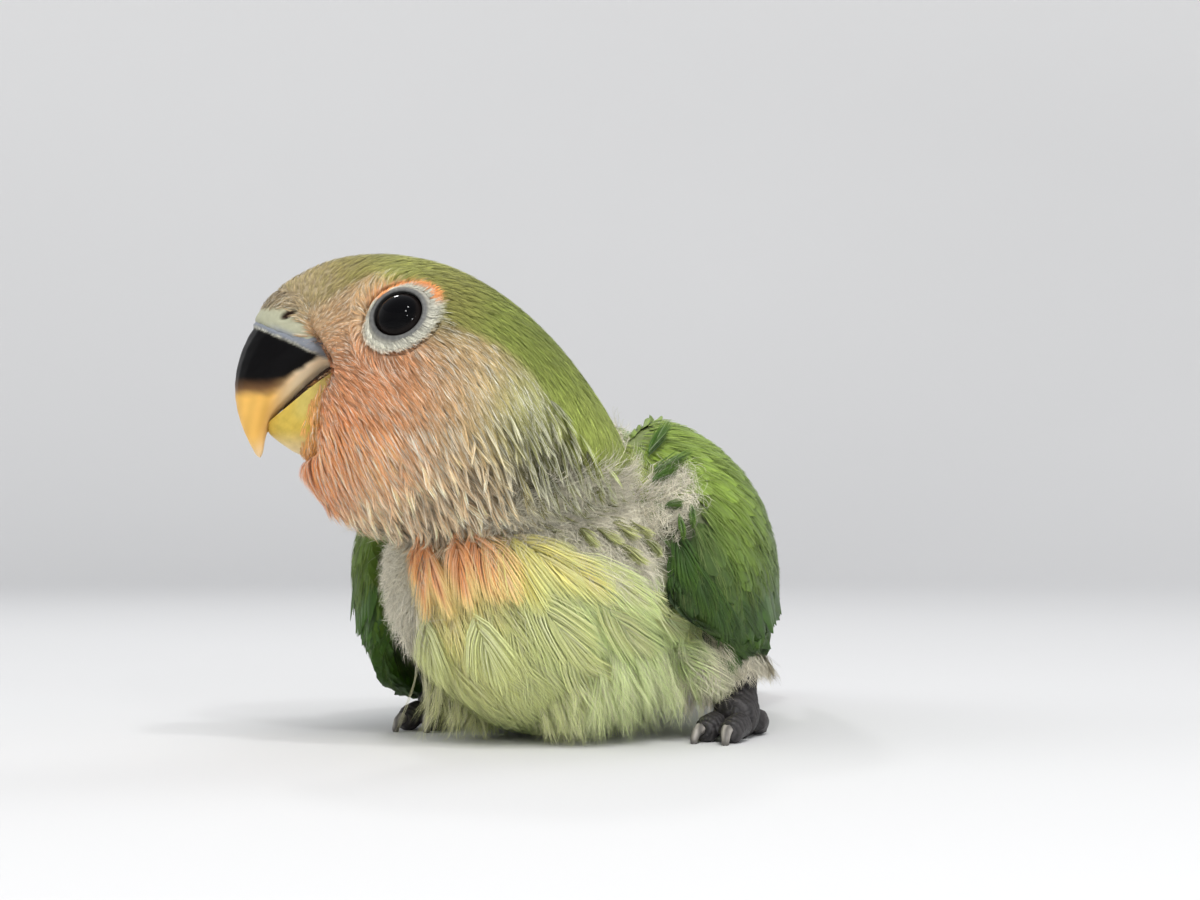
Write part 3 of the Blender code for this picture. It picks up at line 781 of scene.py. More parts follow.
def grow_tufts(name, guides, normals, colours, rng, strips=5, steps=3, width=0.18,
               spread=(0.2, 0.35, 0.3), height=(0.1, 0.8), shorter=0.35, starts=0.12, tone=0.12,
               root_tone=0.6, tip_tone=1.08, tilt=0.3, curl=0.0, scale=None, second=None,
               share=0.0, picked=None, patchy=0.05, centre=None, axis=(0, 1, 0), tips=None):
    """Tufts of thin tapering strips along the guides, as one mesh.

    spread is how far the strips stray sideways at root, middle and tip, height how far they
    stand off the guide at root and tip, starts how far along the guide a strip may begin, and
    share how much of the second colour goes into them, or into the picked part of them. Past
    TIP_START they take on the colour of tips.
    """
    count = len(guides)
    scale = np.ones(count) if scale is None else scale
    shape = (count, strips)
    run = 1 - shorter * rng.random(shape)
    start = starts * rng.random(shape)
    run = np.maximum(run, start + 0.35)
    lateral = rng.uniform(-1, 1, shape)
    stray = np.stack([lateral * reach + rng.normal(0, wild, shape) * reach
                      for reach, wild in zip(spread, (0.25, 0.3, 0.5))])
    stray = stray * scale[None, :, None]
    lift = rng.uniform(0.45, 1.0, shape)
    lean = rng.normal(0, tilt, shape)
    phase = rng.uniform(0, 2 * math.pi, shape)
    level = np.clip((1 + rng.normal(0, tone, shape)) * (1 + rng.normal(0, patchy, (count, 1))),
                    0.4, 1.5)
    chance = rng.random(shape)
    blend = (share * (chance ** 1.5 if picked is None else chance < picked))[..., None]
    second = colours if second is None else second
    base = mixed(colours[:, None], np.broadcast_to(second, colours.shape)[:, None], blend)
    points, shades, patches = [], [], []
    flat = unwrap(guides[:, 0], guides[:, 0].mean(axis=0) if centre is None else centre, axis)
    for k in range(steps + 1):
        t = k / steps
        shares = start + (run - start) * t
        over = np.maximum(shares - 1, 0)
        middle = along(guides, shares)
        up = unit(along(normals, shares))
        ahead = along(guides, shares + 0.06) - along(guides, shares - 0.06)
        middle = middle + ahead * (over / 0.12)[..., None]
        ahead = unit(ahead)
        side = np.cross(up, ahead)
        if t < 0.5:
            off = stray[0] * (1 - 2 * t) + stray[1] * 2 * t
        else:
            off = stray[1] * (2 - 2 * t) + stray[2] * (2 * t - 1)
        off = off + curl * (np.sin(phase + 5.0 * t) - np.sin(phase)) * (0.3 + 0.7 * t)
        rise = (height[0] + (height[1] - height[0]) * shares ** 0.8) * lift * scale[:, None]
        rise = rise + curl * 0.5 * np.cos(phase + 4.0 * t) * t
        middle = middle + side * off[..., None] + up * rise[..., None]
        # Painted shade: each strip is darker at its root, under the rest of the coat, and goes over
        # to tip_tone at its tip.
        tint = root_tone + (tip_tone - root_tone) * np.clip(shares, 0, 1) ** 0.7
        colour = base * (level * tint)[..., None]
        if tips is not None:
            late = smooth(shares, TIP_START, 1.0)[..., None]
            colour = mixed(colour, tips[:, None] * (level * tip_tone)[..., None], late)
        spot = np.stack(np.broadcast_arrays(flat[:, None, 0] + PATCH * 0.45 * lateral,
                                            flat[:, None, 1] + PATCH * (t - 0.5) * 0.9), axis=-1)
        if k == steps:
            points.append(middle)
            shades.append(colour)
            patches.append(spot)
            continue
        half = width * scale[:, None] * STRIP_WIDTHS[k] * (1 - 0.3 * t)
        flank = side * np.cos(lean)[..., None] + up * np.sin(lean)[..., None]
        for sign in (-1, 1):
            points.append(middle + flank * (half * sign)[..., None])
            shades.append(colour)
            patches.append(spot)
    points = np.stack(points, axis=2)
    size = points.shape[2]
    points = points.reshape(-1, 3)
    keep_above(points, 0.12)
    shades = np.stack(shades, axis=2).reshape(-1, 3)
    patches = np.stack(patches, axis=2).reshape(-1, 2)
    one, counts = [], []
    for k in range(steps - 1):
        one += [2 * k, 2 * k + 1, 2 * k + 3, 2 * k + 2]
        counts.append(4)
    one += [2 * steps - 2, 2 * steps - 1, 2 * steps]
    counts.append(3)
    corners = (np.arange(count * strips)[:, None] * size + np.array(one)[None]).ravel()
    counts = np.tile(counts, count * strips)
    piece = mesh_from_arrays(name, points, corners, counts, np.clip(shades, 0, 1), patches)
    piece.data.materials.append(feather_material())
    return piece


def grow_vanes(name, guides, normals, colours, edge_colours, rng, half_width, rows, columns,
               camber, fray, lift, centre, thick=0.0, pointed=False):
    """Leaf-shaped closed vanes with a shaft along the guides, as one mesh."""
    count = len(guides)
    across = np.linspace(-1, 1, columns)
    points, shades, patches, vane = [], [], [], []
    flat = unwrap(guides[:, 0], np.array(centre), (0, 1, 0))
    tone = 1 + rng.normal(0, 0.08, (count, 1))
    taper, bluntness, roundness = (0.4, 1.7, 0.9) if pointed else (0.62, 2.3, 0.5)
    for k in range(rows + 1):
        t = k / rows
        shares = np.full((count, 1), t)
        middle = along(guides, shares)[:, 0]
        up = unit(along(normals, shares)[:, 0])
        ahead = unit((along(guides, shares + 0.05) - along(guides, shares - 0.05))[:, 0])
        side = np.cross(up, ahead)
        tip = max(0.0, (t - taper) / (1 - taper))
        body = min(1.0, (t / 0.28) ** 0.6) * (1 - tip ** bluntness) ** roundness
        rise = lift[0] + (lift[1] - lift[0]) * t
        for x in across:
            ragged = rng.normal(0, fray, count) * (abs(x) > 0.9) if 0 < k < rows else 0.0
            slip = rng.normal(0, fray, count) * half_width * 0.6 * (abs(x) > 0.4)
            reach = half_width * (x * body + np.sign(x) * ragged * body)
            place = (middle + side * reach[:, None]
                     + up * (rise - camber * half_width * x * x * body)[:, None]
                     + ahead * slip[:, None])
            if x == 0:
                place = place + up * 0.05
            points.append(place)
            outer = smooth(abs(x), 0.35, 1.0) * 0.7 + 0.3 * smooth(t, 0.75, 1.0)
            streak = 1 + rng.normal(0, 0.07, (count, 1))
            dark = 0.8 if x == 0 else 1.0
            # Painted shade: each vane is darker near its root, where the feathers over it shade it.
            shades.append(mixed(colours, edge_colours, outer) * tone * streak * dark
                          * (0.72 + 0.28 * min(1.0, t * 2.2)))
            patches.append(flat + PATCH * np.array((x * 0.45, (t - 0.5) * 0.9)))
            vane.append(np.broadcast_to((x * 0.35, t), (count, 2)))
    points = np.stack(points, axis=1)
    size = points.shape[1]
    index = np.arange((rows + 1) * columns).reshape(rows + 1, columns)
    one = np.stack((index[:-1, :-1], index[:-1, 1:], index[1:, 1:], index[1:, :-1]), axis=-1)
    one = one.reshape(-1, 4)
    if thick:
        up = unit(along(normals, np.full((count, 1), 0.5))[:, 0])
        ring = np.concatenate((index[0, :], index[1:, -1], index[-1, -2::-1], index[-2:0:-1, 0]))
        after = np.roll(ring, -1)
        walls = np.stack((after, ring, ring + size, after + size), axis=-1)
        one = np.concatenate((one, one[:, ::-1] + size, walls))
        points = np.concatenate((points, points - up[:, None] * thick), axis=1)
        shades, patches, vane = shades * 2, patches * 2, vane * 2
        size *= 2
    shades = np.stack(shades, axis=1).reshape(-1, 3)
    patches = np.stack(patches, axis=1).reshape(-1, 2)
    vane = np.stack(vane, axis=1).reshape(-1, 2)
    corners = (np.arange(count)[:, None] * size + one.ravel()[None]).ravel()
    counts = np.full(count * len(one), 4)
    points = points.reshape(-1, 3)
    keep_above(points, 0.15)
    piece = mesh_from_arrays(name, points, corners, counts, np.clip(shades, 0, 1), patches, vane)
    piece.data.materials.append(vane_material())
    return piece


# The lie of the plumage

BILL_BASE = np.array((8.5, 0.0, -5.0))
BREAST_TOP = np.array((-6.0, -23.0, 30.0))


def head_flow(points):
    """Back from the bill, turning down towards the ruff and parting round the eyes."""
    place = in_head(points)
    radial = place - BILL_BASE
    reach = np.linalg.norm(radial, axis=1)
    flow = unit(radial)
    low = smooth(place[:, 2], 3, -10)
    flow[:, 2] -= 0.12 + 1.15 * smooth(reach, 8, 26) * low
    flow = flow[:, :1] * FORWARD + flow[:, 1:2] * LEFT + flow[:, 2:3] * UP
    for side in "LR":
        offset = points - EYE[side]
        out = offset @ EYE_AXIS[side]
        away = offset - out[:, None] * EYE_AXIS[side]
        across = np.linalg.norm(away, axis=1)
        weight = smooth(across, 8.0, 4.2) * (out > 0) * 1.3
        flow = flow + unit(away) * weight[:, None]
    return flow


def body_flow(points):
    """Fans down and outwards from the throat in front, and straight back on top."""
    place = in_body(points)
    fan = unit(place - BREAST_TOP)
    fan[:, 2] -= 0.3
    back = np.array((0.0, 1.0, -0.25))
    share = smooth(place[:, 1], -12, 4)[:, None]
    high = smooth(place[:, 2], 25, 34)[:, None]
    return mixed(fan, back, np.maximum(share, high))


def wing_flow(points):
    """Down and back along the folded wing."""
    place = in_body(points)
    down = 0.3 + 1.5 * smooth(place[:, 1], 8, -10)
    return np.stack((np.zeros(len(points)), np.full(len(points), 1.0), -down), axis=1)


def thigh_flow(points):
    place = in_body(points)
    return np.stack((0.15 * np.sign(place[:, 0]), np.full(len(points), 0.35),
                     np.full(len(points), -1.0)), axis=1)


class Coats:
    """The skin as laid, the labels of its faces and which of them can be seen."""
    surface = None
    labels = None
    shown = None


def on_nodes(*nodes):
    """Which faces of the skin belong to these solids and can be seen."""
    return labelled(Coats.labels, *nodes) & Coats.shown


def prepare_surface(skin, labels):
    """Notes where feathers can grow: on every face that no other part of the skin covers."""
    Coats.surface = Surface(skin)
    corners = Coats.surface.corners
    Coats.labels = labels[corners[:, 0]]
    middle = Coats.surface.points[corners].mean(axis=1)
    normal = unit(Coats.surface.normals[corners].mean(axis=1))
    depth = coat_depth(middle, Coats.labels)
    cast = Coats.surface.tree.ray_cast
    shown = np.ones(len(middle), dtype=bool)
    for i, (point, direction) in enumerate(zip(middle + normal * 0.3, normal)):
        hit = cast(Vector(point), Vector(direction), 2.2 + depth[i])
        shown[i] = hit[0] is None
    Coats.shown = shown & (middle[:, 2] > 0.6)


def seeds(offset):
    return np.random.default_rng(SEED + offset)


def near_spot(places, centre, reach):
    """Which places lie in the rounded region about a centre."""
    return np.linalg.norm((places - centre) / reach, axis=1) < 1


def clear_of_eyes(guides, margin):
    """Guides that nowhere cross an eye."""
    reach = eye_reach(guides.reshape(-1, 3)).reshape(guides.shape[:2])
    return (reach > margin).all(axis=1)


def clear_of_bill(guides):
    """Guides that don't start on the skin behind the lower bill."""
    u, v, z = in_head(guides[:, 0]).T
    limit = np.interp(z, (-17.8, -17.0, -16.0, -9.5, -7.6, -6.6), (20, 9.8, 8.0, 7.6, 7.9, 20))
    return (u < limit) | (np.abs(v) > 4.9)


def off_wings(guides):
    """Guides whose tips don't lie on a wing."""
    find = Coats.surface.tree.find_nearest
    ends = np.array([find(Vector(p))[2] for p in guides[:, -1]])
    return ~labelled(Coats.labels[ends], "wing_L", "wing_R")


EYE_MARGIN = 3.6


def head_coat(name, offset, region, spacing, length, strips, width, tuft, **more):
    """One piece of the head's coat, over a region of (forward, left, up).

    length is that of the tufts at (forward, up).
    """
    rng = seeds(offset)
    density = math.sqrt(sizes().tuft_density)
    roots = Coats.surface.scatter(
        spacing / density, rng, lambda middle: on_nodes("head") & region(*in_head(middle).T)
        & (eye_reach(middle) > EYE_MARGIN))
    u, _, z = in_head(roots).T
    lengths = length(u, z) * (0.8 + 0.4 * rng.random(len(roots))) * sizes().tuft_length
    guides, normals = lay_guides(Coats.surface, roots, head_flow, lengths, 4,
                                 more.pop("stiff", 0.3), more.pop("yaw", 0.10), rng)
    good = clear_of_eyes(guides, 3.45) & clear_of_bill(guides)
    guides, normals = guides[good], normals[good]
    colours = head_colour(guides[:, 0] * 0.4 + guides[:, -1] * 0.6)
    colours = colours * (1 + 0.07 * mottle(guides[:, 0], 1.6))[:, None]
    depth = coat_depth(guides[:, 0], np.zeros(len(guides), dtype=int))
    piece = grow_tufts(name, guides, normals, colours, rng, strips=strips, width=width,
                       spread=tuft, height=(0.1, more.pop("rise")), scale=0.5 + 0.5 * depth,
                       centre=from_head((-8, 0, -8)), axis=FORWARD, **more)
    settle_piece(piece, "plumage_head")


def ruff_line(forward):
    """Height below which the head's feathers hang as separate pin-like tufts."""
    return np.interp(forward, (-26, -22, -17, -11, -6, 0, 4),
                     (-13, -12.5, -11.5, -13.5, -15.5, -18, -22))


def make_head_coat():
    """Fine hair-like feathers over crown, face and throat, with pin-like tufts for the ruff."""
    over = lambda u, z: z - nape_line(u)
    hang = lambda u, z: z - ruff_line(u)
    face = lambda u, z: (over(u, z) <= 0) & (hang(u, z) > -0.5)
    length = lambda u, z: (0.9 + 1.3 * smooth(u, 10, 0) + 0.9 * smooth(u, -4, -16)
                           + 1.3 * smooth(z, -12, -20) + 1.0 * smooth(z, -4, -9))
    pale = shade("eye_white")
    for shift, (side, sign) in enumerate(SIDES):
        head_coat("coat_crown_" + side, 1 + shift,
                  lambda u, v, z: (over(u, z) > 0) & (v * sign > 0), 0.47, length, 8, 0.08,
                  (0.22, 0.22, 0.2), steps=2, tone=0.16, tilt=0.2, root_tone=0.84, tip_tone=1.14,
                  rise=0.6, second=shade("crown") * 0.5, share=0.6, patchy=0.08)
        head_coat("coat_cheek_" + side, 3 + shift,
                  lambda u, v, z: face(u, z) & (v * sign > 0) & (z > -13), 0.46, length, 10, 0.060,
                  (0.2, 0.22, 0.10), steps=2, tone=0.15, tilt=0.25, root_tone=0.76, tip_tone=1.2,
                  rise=0.85, second=pale, share=0.8, picked=0.2, patchy=0.15)
        head_coat("coat_throat_" + side, 5 + shift,
                  lambda u, v, z: face(u, z) & (v * sign > 0) & (z <= -13), 0.56,
                  lambda u, z: length(u, z) + 0.9, 14, 0.070, (0.2, 0.3, 0.06), tone=0.16,
                  root_tone=0.78, tip_tone=1.25, rise=1.3, second=pale, share=0.85, picked=0.3,
                  patchy=0.16, stiff=0.6)
    head_coat("coat_ruff_base", 7, lambda u, v, z: (over(u, z) <= 1.0) & (hang(u, z) <= 0), 0.66,
              lambda u, z: np.full(len(u), 2.2), 8, 0.09, (0.25, 0.35, 0.3), steps=2, tone=0.18,
              tilt=0.4, tip_tone=0.9, rise=0.5, second=shade("down"), share=1.0, patchy=0.1,
              stiff=0.5)
    head_coat("coat_ruff", 8, lambda u, v, z: (over(u, z) <= 1.6) & (hang(u, z) <= 1.0), 1.22,
              lambda u, z: 2.8 + 0.5 * smooth(u, 4, -10), 13, 0.088, (0.08, 0.16, 0.02), steps=4,
              tilt=0.8, root_tone=0.62, tip_tone=1.3, rise=2.4, second=pale, share=0.55,
              picked=0.5, patchy=0.2, stiff=0.92, yaw=0.2, shorter=0.2)


BODY_MIDDLE = BODY_ORIGIN + (0, 0, 18)


def body_coat(name, offset, wanted, spacing, length, strips, **more):
    """One piece of the body's coat of loose barbs, over a region of body places."""
    rng = seeds(offset)
    roots = Coats.surface.scatter(
        spacing / math.sqrt(sizes().tuft_density), rng,
        lambda middle: on_nodes("trunk", "rump", "neck") & wanted(*in_body(middle).T))
    lengths = length * (0.75 + 0.5 * rng.random(len(roots))) * sizes().tuft_length
    guides, normals = lay_guides(Coats.surface, roots, body_flow, lengths, 6, 0.6, 0.14, rng)
    good = off_wings(guides)
    guides, normals = guides[good], normals[good]
    colours = body_colour(guides[:, 3] * 0.7 + guides[:, -1] * 0.3)
    colours = colours * (1 + 0.08 * mottle(guides[:, 0], 2.4))[:, None]
    piece = grow_tufts(name, guides, normals, colours, rng, strips=strips, tone=0.10,
                       centre=BODY_MIDDLE, **more)
    settle_piece(piece, "plumage_body")


def make_body_coat():
    """Long fans of loose barbs on breast and belly, closer feathers on the back."""
    front = lambda x, y, z: (y < -8) & (z < 29)
    body_coat("coat_breast_under", 21, front, 1.15, 4.5, 8, width=0.17, spread=(0.3, 0.5, 0.6),
              height=(0.1, 1.2), root_tone=0.76, tip_tone=0.98, second=shade("down"), share=0.5)
    rng = seeds(22)
    roots = Coats.surface.scatter(3.0 / math.sqrt(sizes().tuft_density), rng,
                                  lambda middle: on_nodes("trunk", "neck")
                                  & front(*in_body(middle).T) & ~downy_breast(in_body(middle)))
    lengths = 7.5 + 2.5 * smooth(in_body(roots)[:, 2], 24, 12) + rng.uniform(-0.8, 0.8, len(roots))
    guides, normals = lay_guides(Coats.surface, roots, body_flow, lengths, 8, 0.5, 0.12, rng)
    good = off_wings(guides)
    guides, normals = guides[good], normals[good]
    colours = body_colour(guides[:, 4]) * rng.uniform(0.92, 1.06, (len(guides), 1))
    grow_fans("coat_breast", guides, normals, rng.uniform(2.4, 3.4, len(guides)), colours,
              body_colour(guides[:, -1]), rng, 54, (0.5, 1.8))
    body_coat("coat_belly", 23, lambda x, y, z: (y >= -8) & (z < 17), 1.5, 6.0, 11, steps=4,
              width=0.16, spread=(0.3, 0.6, 1.0), height=(0.2, 1.9), starts=0.5, root_tone=0.72,
              second=shade("down"), share=0.45)
    body_coat("coat_back", 24, lambda x, y, z: (y >= -14) & (z >= 17), 1.35, 4.5, 10,
              width=0.16, spread=(0.3, 0.5, 0.6), height=(0.15, 1.2), starts=0.3, root_tone=0.74)


# Loose feathers of the breast as (root, tip) seen from the front of the body, (aside, up), with
# half their width and their colours at root and tip.
BREAST_LOCKS = (
    ((-16.6, 26.0), (-15.6, 18.3), 0.8, "orange", "orange"),
    ((-16.1, 25.0), (-11.7, 15.1), 1.3, "orange", "breast_pale"),
    ((-15.4, 25.0), (-14.6, 14.7), 1.4, "orange", "breast_pale"),
    ((-12.4, 25.5), (-9.7, 15.8), 2.3, "orange", "breast_pale"),
    ((-10.6, 25.6), (-6.5, 16.5), 2.6, "orange", "breast_pale"),
    ((-8.8, 25.0), (-4.6, 16.6), 2.2, "breast", "breast_pale"),
    ((-6.8, 24.6), (-2.3, 15.5), 2.8, "breast_yellow", "belly"),
    ((-5.7, 24.4), (1.7, 17.8), 3.0, "breast_yellow", "belly"),
    ((-2.3, 22.6), (5.1, 17.2), 2.4, "breast_yellow", "belly"),
    ((1.1, 22.2), (9.7, 15.5), 2.2, "belly", "belly_green"),
    ((-4.4, 18.6), (3.0, 10.2), 3.4, "belly", "belly"),
    ((2.6, 18.0), (10.4, 9.6), 3.2, "belly", "belly_green"),
    ((7.4, 19.0), (14.6, 11.6), 2.4, "belly", "belly_green"),
    ((10.0, 17.5), (16.6, 10.8), 2.0, "belly_green", "belly"),
    ((11.5, 14.6), (18.2, 8.6), 2.0, "belly_green", "down"),
    ((12.0, 11.6), (18.6, 6.6), 2.0, "belly_green", "down"),
    ((-1.0, 12.6), (5.2, 5.4), 3.4, "belly", "belly"),
    ((-15.4, 15.6), (-13.1, 8.1), 3.0, "belly", "belly"),
    ((-9.9, 15.9), (-6.8, 8.1), 3.4, "belly", "belly"),
)


def downy_breast(places):
    """Which body places lie in the patch of down beside the breast's orange locks."""
    return near_spot(places, (-11.2, -24.5, 20.5), (4.4, 6.0, 5.6))


BARB_POINTS = 6


def fan_barbs(guides, normals, half_widths, barbs, rng):
    """Guides of the barbs that leave each shaft on both sides and spread like a fan."""
    count = len(guides)
    t = np.linspace(0, 1, BARB_POINTS)
    aside = np.linspace(-1, 1, barbs) + rng.normal(0, 0.03, (count, barbs))
    start = np.clip(0.62 * (1 - np.abs(aside)) * rng.uniform(0.8, 1.0, (count, barbs)), 0, 0.7)
    end = 1.0 - 0.28 * aside ** 2 + rng.normal(0, 0.06, (count, barbs))
    shares = (start[..., None] + (end - start)[..., None] * t).reshape(count, -1)
    ahead = unit(along(guides, shares + 0.05) - along(guides, shares - 0.05))
    side = np.cross(unit(along(normals, shares)), ahead)
    reach = (aside[..., None] * t ** 0.6).reshape(count, -1) * half_widths[:, None]
    points = along(guides, shares) + side * reach[..., None]
    near, face = Coats.surface.settle(points.reshape(-1, 3))
    shape = (count * barbs, BARB_POINTS, 3)
    return near.reshape(shape), face.reshape(shape)


def grow_fans(name, guides, normals, half_widths, colours, tips, rng, barbs, height,
              slot_name="plumage_body", share=0.4):
    """Loose feathers whose fine barbs fan out from a shaft, as one mesh."""
    lines, faces = fan_barbs(guides, normals, half_widths, barbs, rng)
    piece = grow_tufts(name, lines, faces, np.repeat(colours, barbs, axis=0), rng, strips=2,
                       steps=4, width=0.10, spread=(0.02, 0.05, 0.10), height=height,
                       shorter=0.12, starts=0.05, tone=0.09, root_tone=0.90,
                       second=shade("eye_white"), share=share, patchy=0.06, centre=BODY_MIDDLE,
                       tips=np.repeat(tips, barbs, axis=0))
    settle_piece(piece, slot_name)


def even_out(line):
    """Takes the kinks out of a line, whose ends stay where they are."""
    for _ in range(3):
        line[1:-1] = line[1:-1] * 0.5 + (line[:-2] + line[2:]) * 0.25


def seen_point(aside, up):
    """Place on the skin that shows at a distance aside and up from the body's own origin."""
    start = BODY_ORIGIN + FRONT_RIGHT * aside + UP * up + FRONT_BACK * VIEW_REACH
    hit = Coats.surface.tree.ray_cast(Vector(start), Vector(-FRONT_BACK))
    if hit[0] is None:
        hit = Coats.surface.tree.find_nearest(Vector(start - FRONT_BACK * VIEW_REACH))
    return np.array(hit[0]), np.array(hit[1])


def seen_lines(ends, steps):
    """Guides on the skin, and their normals, between pairs of places seen from the front."""
    guides, normals = [], []
    for root, tip in ends:
        places = [seen_point(root[0] + (tip[0] - root[0]) * t, root[1] + (tip[1] - root[1]) * t)
                  for t in np.linspace(0, 1, steps + 1)]
        line = np.array([place for place, _ in places])
        even_out(line)
        guides.append(line)
        normals.append([normal for _, normal in places])
    return np.array(guides), np.array(normals)


def make_breast_locks():
    """The loose orange and yellow feathers that hang from under the ruff."""
    rng = seeds(35)
    guides, normals = seen_lines([lock[:2] for lock in BREAST_LOCKS], 8)
    halves = np.array([lock[2] for lock in BREAST_LOCKS])
    roots = np.array([shade(lock[3]) for lock in BREAST_LOCKS])
    warm = np.array([lock[3] == "orange" for lock in BREAST_LOCKS])
    roots[warm] = mixed(roots[warm], shade("breast"), 0.35)
    tips = np.array([shade(lock[4]) for lock in BREAST_LOCKS])
    tips[warm] = mixed(tips[warm], shade("belly"), 0.45)
    grow_fans("breast_locks", guides, normals, halves, roots, tips, rng, 90, (1.5, 2.9))


def hang_guides(roots, lengths, steps, rng, outward):
    """Lines that leave the skin along the flow and then hang to the floor."""
    place, normal = Coats.surface.settle(roots)
    flow = body_flow(place)
    heading = unit(flow - normal * (flow * normal).sum(axis=1, keepdims=True))
    points, normals = [place], [normal]
    step = (lengths / steps)[:, None]
    sideways = rng.normal(0, 0.3, (len(roots), 3)) * (1, 1, 0)
    for _ in range(steps):
        flat = unit(normal * (1, 1, 0.001))
        wish = unit(flat * outward + sideways + (0, 0, -1.0))
        heading = unit(mixed(heading, wish, 0.35))
        free = place + heading * step
        near, face = Coats.surface.settle(free)
        above = ((free - near) * face).sum(axis=1, keepdims=True)
        place = free + face * np.maximum(0.5 - above, 0)
        keep_above(place, 0.3)
        normal = unit(normal * 0.7 + unit(face) * 0.3)
        points.append(place)
        normals.append(normal)
    return np.stack(points, axis=1), np.stack(normals, axis=1)


def make_skirts():
    """Long loose feathers of belly and flanks that spread on the floor."""
    for side, sign, offset, inner, outer in (("L", 1, 36, 3, 19.5), ("R", -1, 37, 4, 11)):
        rng = seeds(offset)

        def wanted(middle):
            x, y, z = in_body(middle).T
            across = x * sign
            low = (z > 2.5) & (z < np.minimum(14, 2 + 0.9 * across))
            return (on_nodes("trunk", "thigh_" + side) & low & (across > inner)
                    & (across < outer) & (y < 2))

        roots = Coats.surface.scatter(1.3, rng, wanted)
        height = roots[:, 2]
        outside = smooth(np.abs(in_body(roots)[:, 0]), 15.0, 18.0)
        lengths = (height * 0.95 + 1.2) * rng.uniform(0.55, 1.05, len(roots)) * (1 - 0.3 * outside)
        guides, normals = hang_guides(roots, lengths, 8, rng, 0.30)
        colours = mixed(body_colour(guides[:, 0]), shade("down") * 0.8, outside[:, None])
        piece = grow_tufts("coat_skirt_" + side, guides, normals, colours, rng, strips=26, steps=4,
                           width=0.07, spread=(0.6, 1.0, 1.7), height=(0.3, 1.0), starts=0.5,
                           shorter=0.45, tone=0.10, root_tone=0.82, tip_tone=1.02, curl=0.3,
                           second=shade("down"), share=0.8, patchy=0.10, centre=BODY_MIDDLE)
        settle_piece(piece, "plumage_body")


# Where down shows on trunk and neck, as (centre, reach) from the body's own origin.
DOWNY_SPOTS = (((14, -18, 26), (7, 7, 6)), ((-11.6, -24, 19.5), (4.9, 6, 7.5)),
               ((-14, -18, 27), (6, 6, 6)), ((6, -22, 29), (10, 6, 4)),
               ((11, -6.5, 36.5), (4, 6, 4.5)))


def make_down():
    """Grey curly down at the shoulders, beside the breast and on the thighs."""
    rng = seeds(30)

    def wanted(middle):
        downy = np.zeros(len(middle), dtype=bool)
        for centre, reach in DOWNY_SPOTS:
            downy |= near_spot(in_body(middle), centre, reach)
        pit = on_nodes("wing_L") & in_pit(middle)
        return pit | on_nodes("trunk", "neck", "head") & downy

    for name, steps, strips, width, curl, reach in (("coat_down", 4, 10, 0.075, 0.45, 3.8),
                                                    ("coat_down_fluff", 5, 7, 0.05, 0.6, 4.8)):
        roots = Coats.surface.scatter(0.8, rng, wanted)
        lengths = reach * (0.5 + 0.8 * rng.random(len(roots))) * sizes().tuft_length
        guides, normals = lay_guides(Coats.surface, roots, body_flow, lengths, 5, 0.6, 1.0, rng)
        good = off_wings(guides) | in_pit(guides[:, -1])
        guides, normals = guides[good], normals[good]
        colours = shade("down") * rng.uniform(0.8, 1.1, (len(guides), 1))
        piece = grow_tufts(name, guides, normals, colours, rng, strips=strips, steps=steps,
                           width=width, spread=(0.2, 0.9, 1.6), height=(0.6, 2.7),
                           root_tone=0.62, tip_tone=1.15, curl=curl, second=shade("eye_white"),
                           share=0.7)
        settle_piece(piece, "down")
    for shift, (side, sign) in enumerate(SIDES):
        rng = seeds(31 + shift)
        flank = lambda middle: on_nodes("thigh_" + side) | (
            on_nodes("trunk")
            & near_spot(in_body(middle) * (sign, 1, 1), (17, -9, 7), (6, 6, 5)))
        roots = Coats.surface.scatter(0.8, rng, flank)
        roots = roots[np.abs(in_body(roots)[:, 0]) < 21.8]
        lengths = 4.6 * (0.6 + 0.6 * rng.random(len(roots))) * sizes().tuft_length
        guides, normals = lay_guides(Coats.surface, roots, thigh_flow, lengths, 5, 0.8, 0.35, rng)
        colours = thigh_colour(guides[:, 2])
        piece = grow_tufts("coat_thigh_" + side, guides, normals, colours, rng, strips=8, steps=4,
                           width=0.11, spread=(0.2, 0.6, 0.9), height=(0.3, 1.2), tone=0.14,
                           root_tone=0.55, tip_tone=1.1, curl=0.3, second=shade("down"),
                           share=0.6)
        settle_piece(piece, "down")


# Wings and tail

PIT = (12.4, 28.2)
PIT_REACH = (3.2, 4.8)


def in_pit(points):
    """Which places lie where the down of the shoulder spreads over the left wing."""
    place = in_body(points)
    aside = (place @ FRONT_RIGHT - PIT[0]) / PIT_REACH[0]
    rise = (place[:, 2] - PIT[1]) / PIT_REACH[1]
    return (aside ** 2 + rise ** 2 < 1) & (place[:, 0] > 0) & (place[:, 1] < 0)


def wing_middle(sign):
    return np.array((sign * 4.0, 5.0, 24.0))


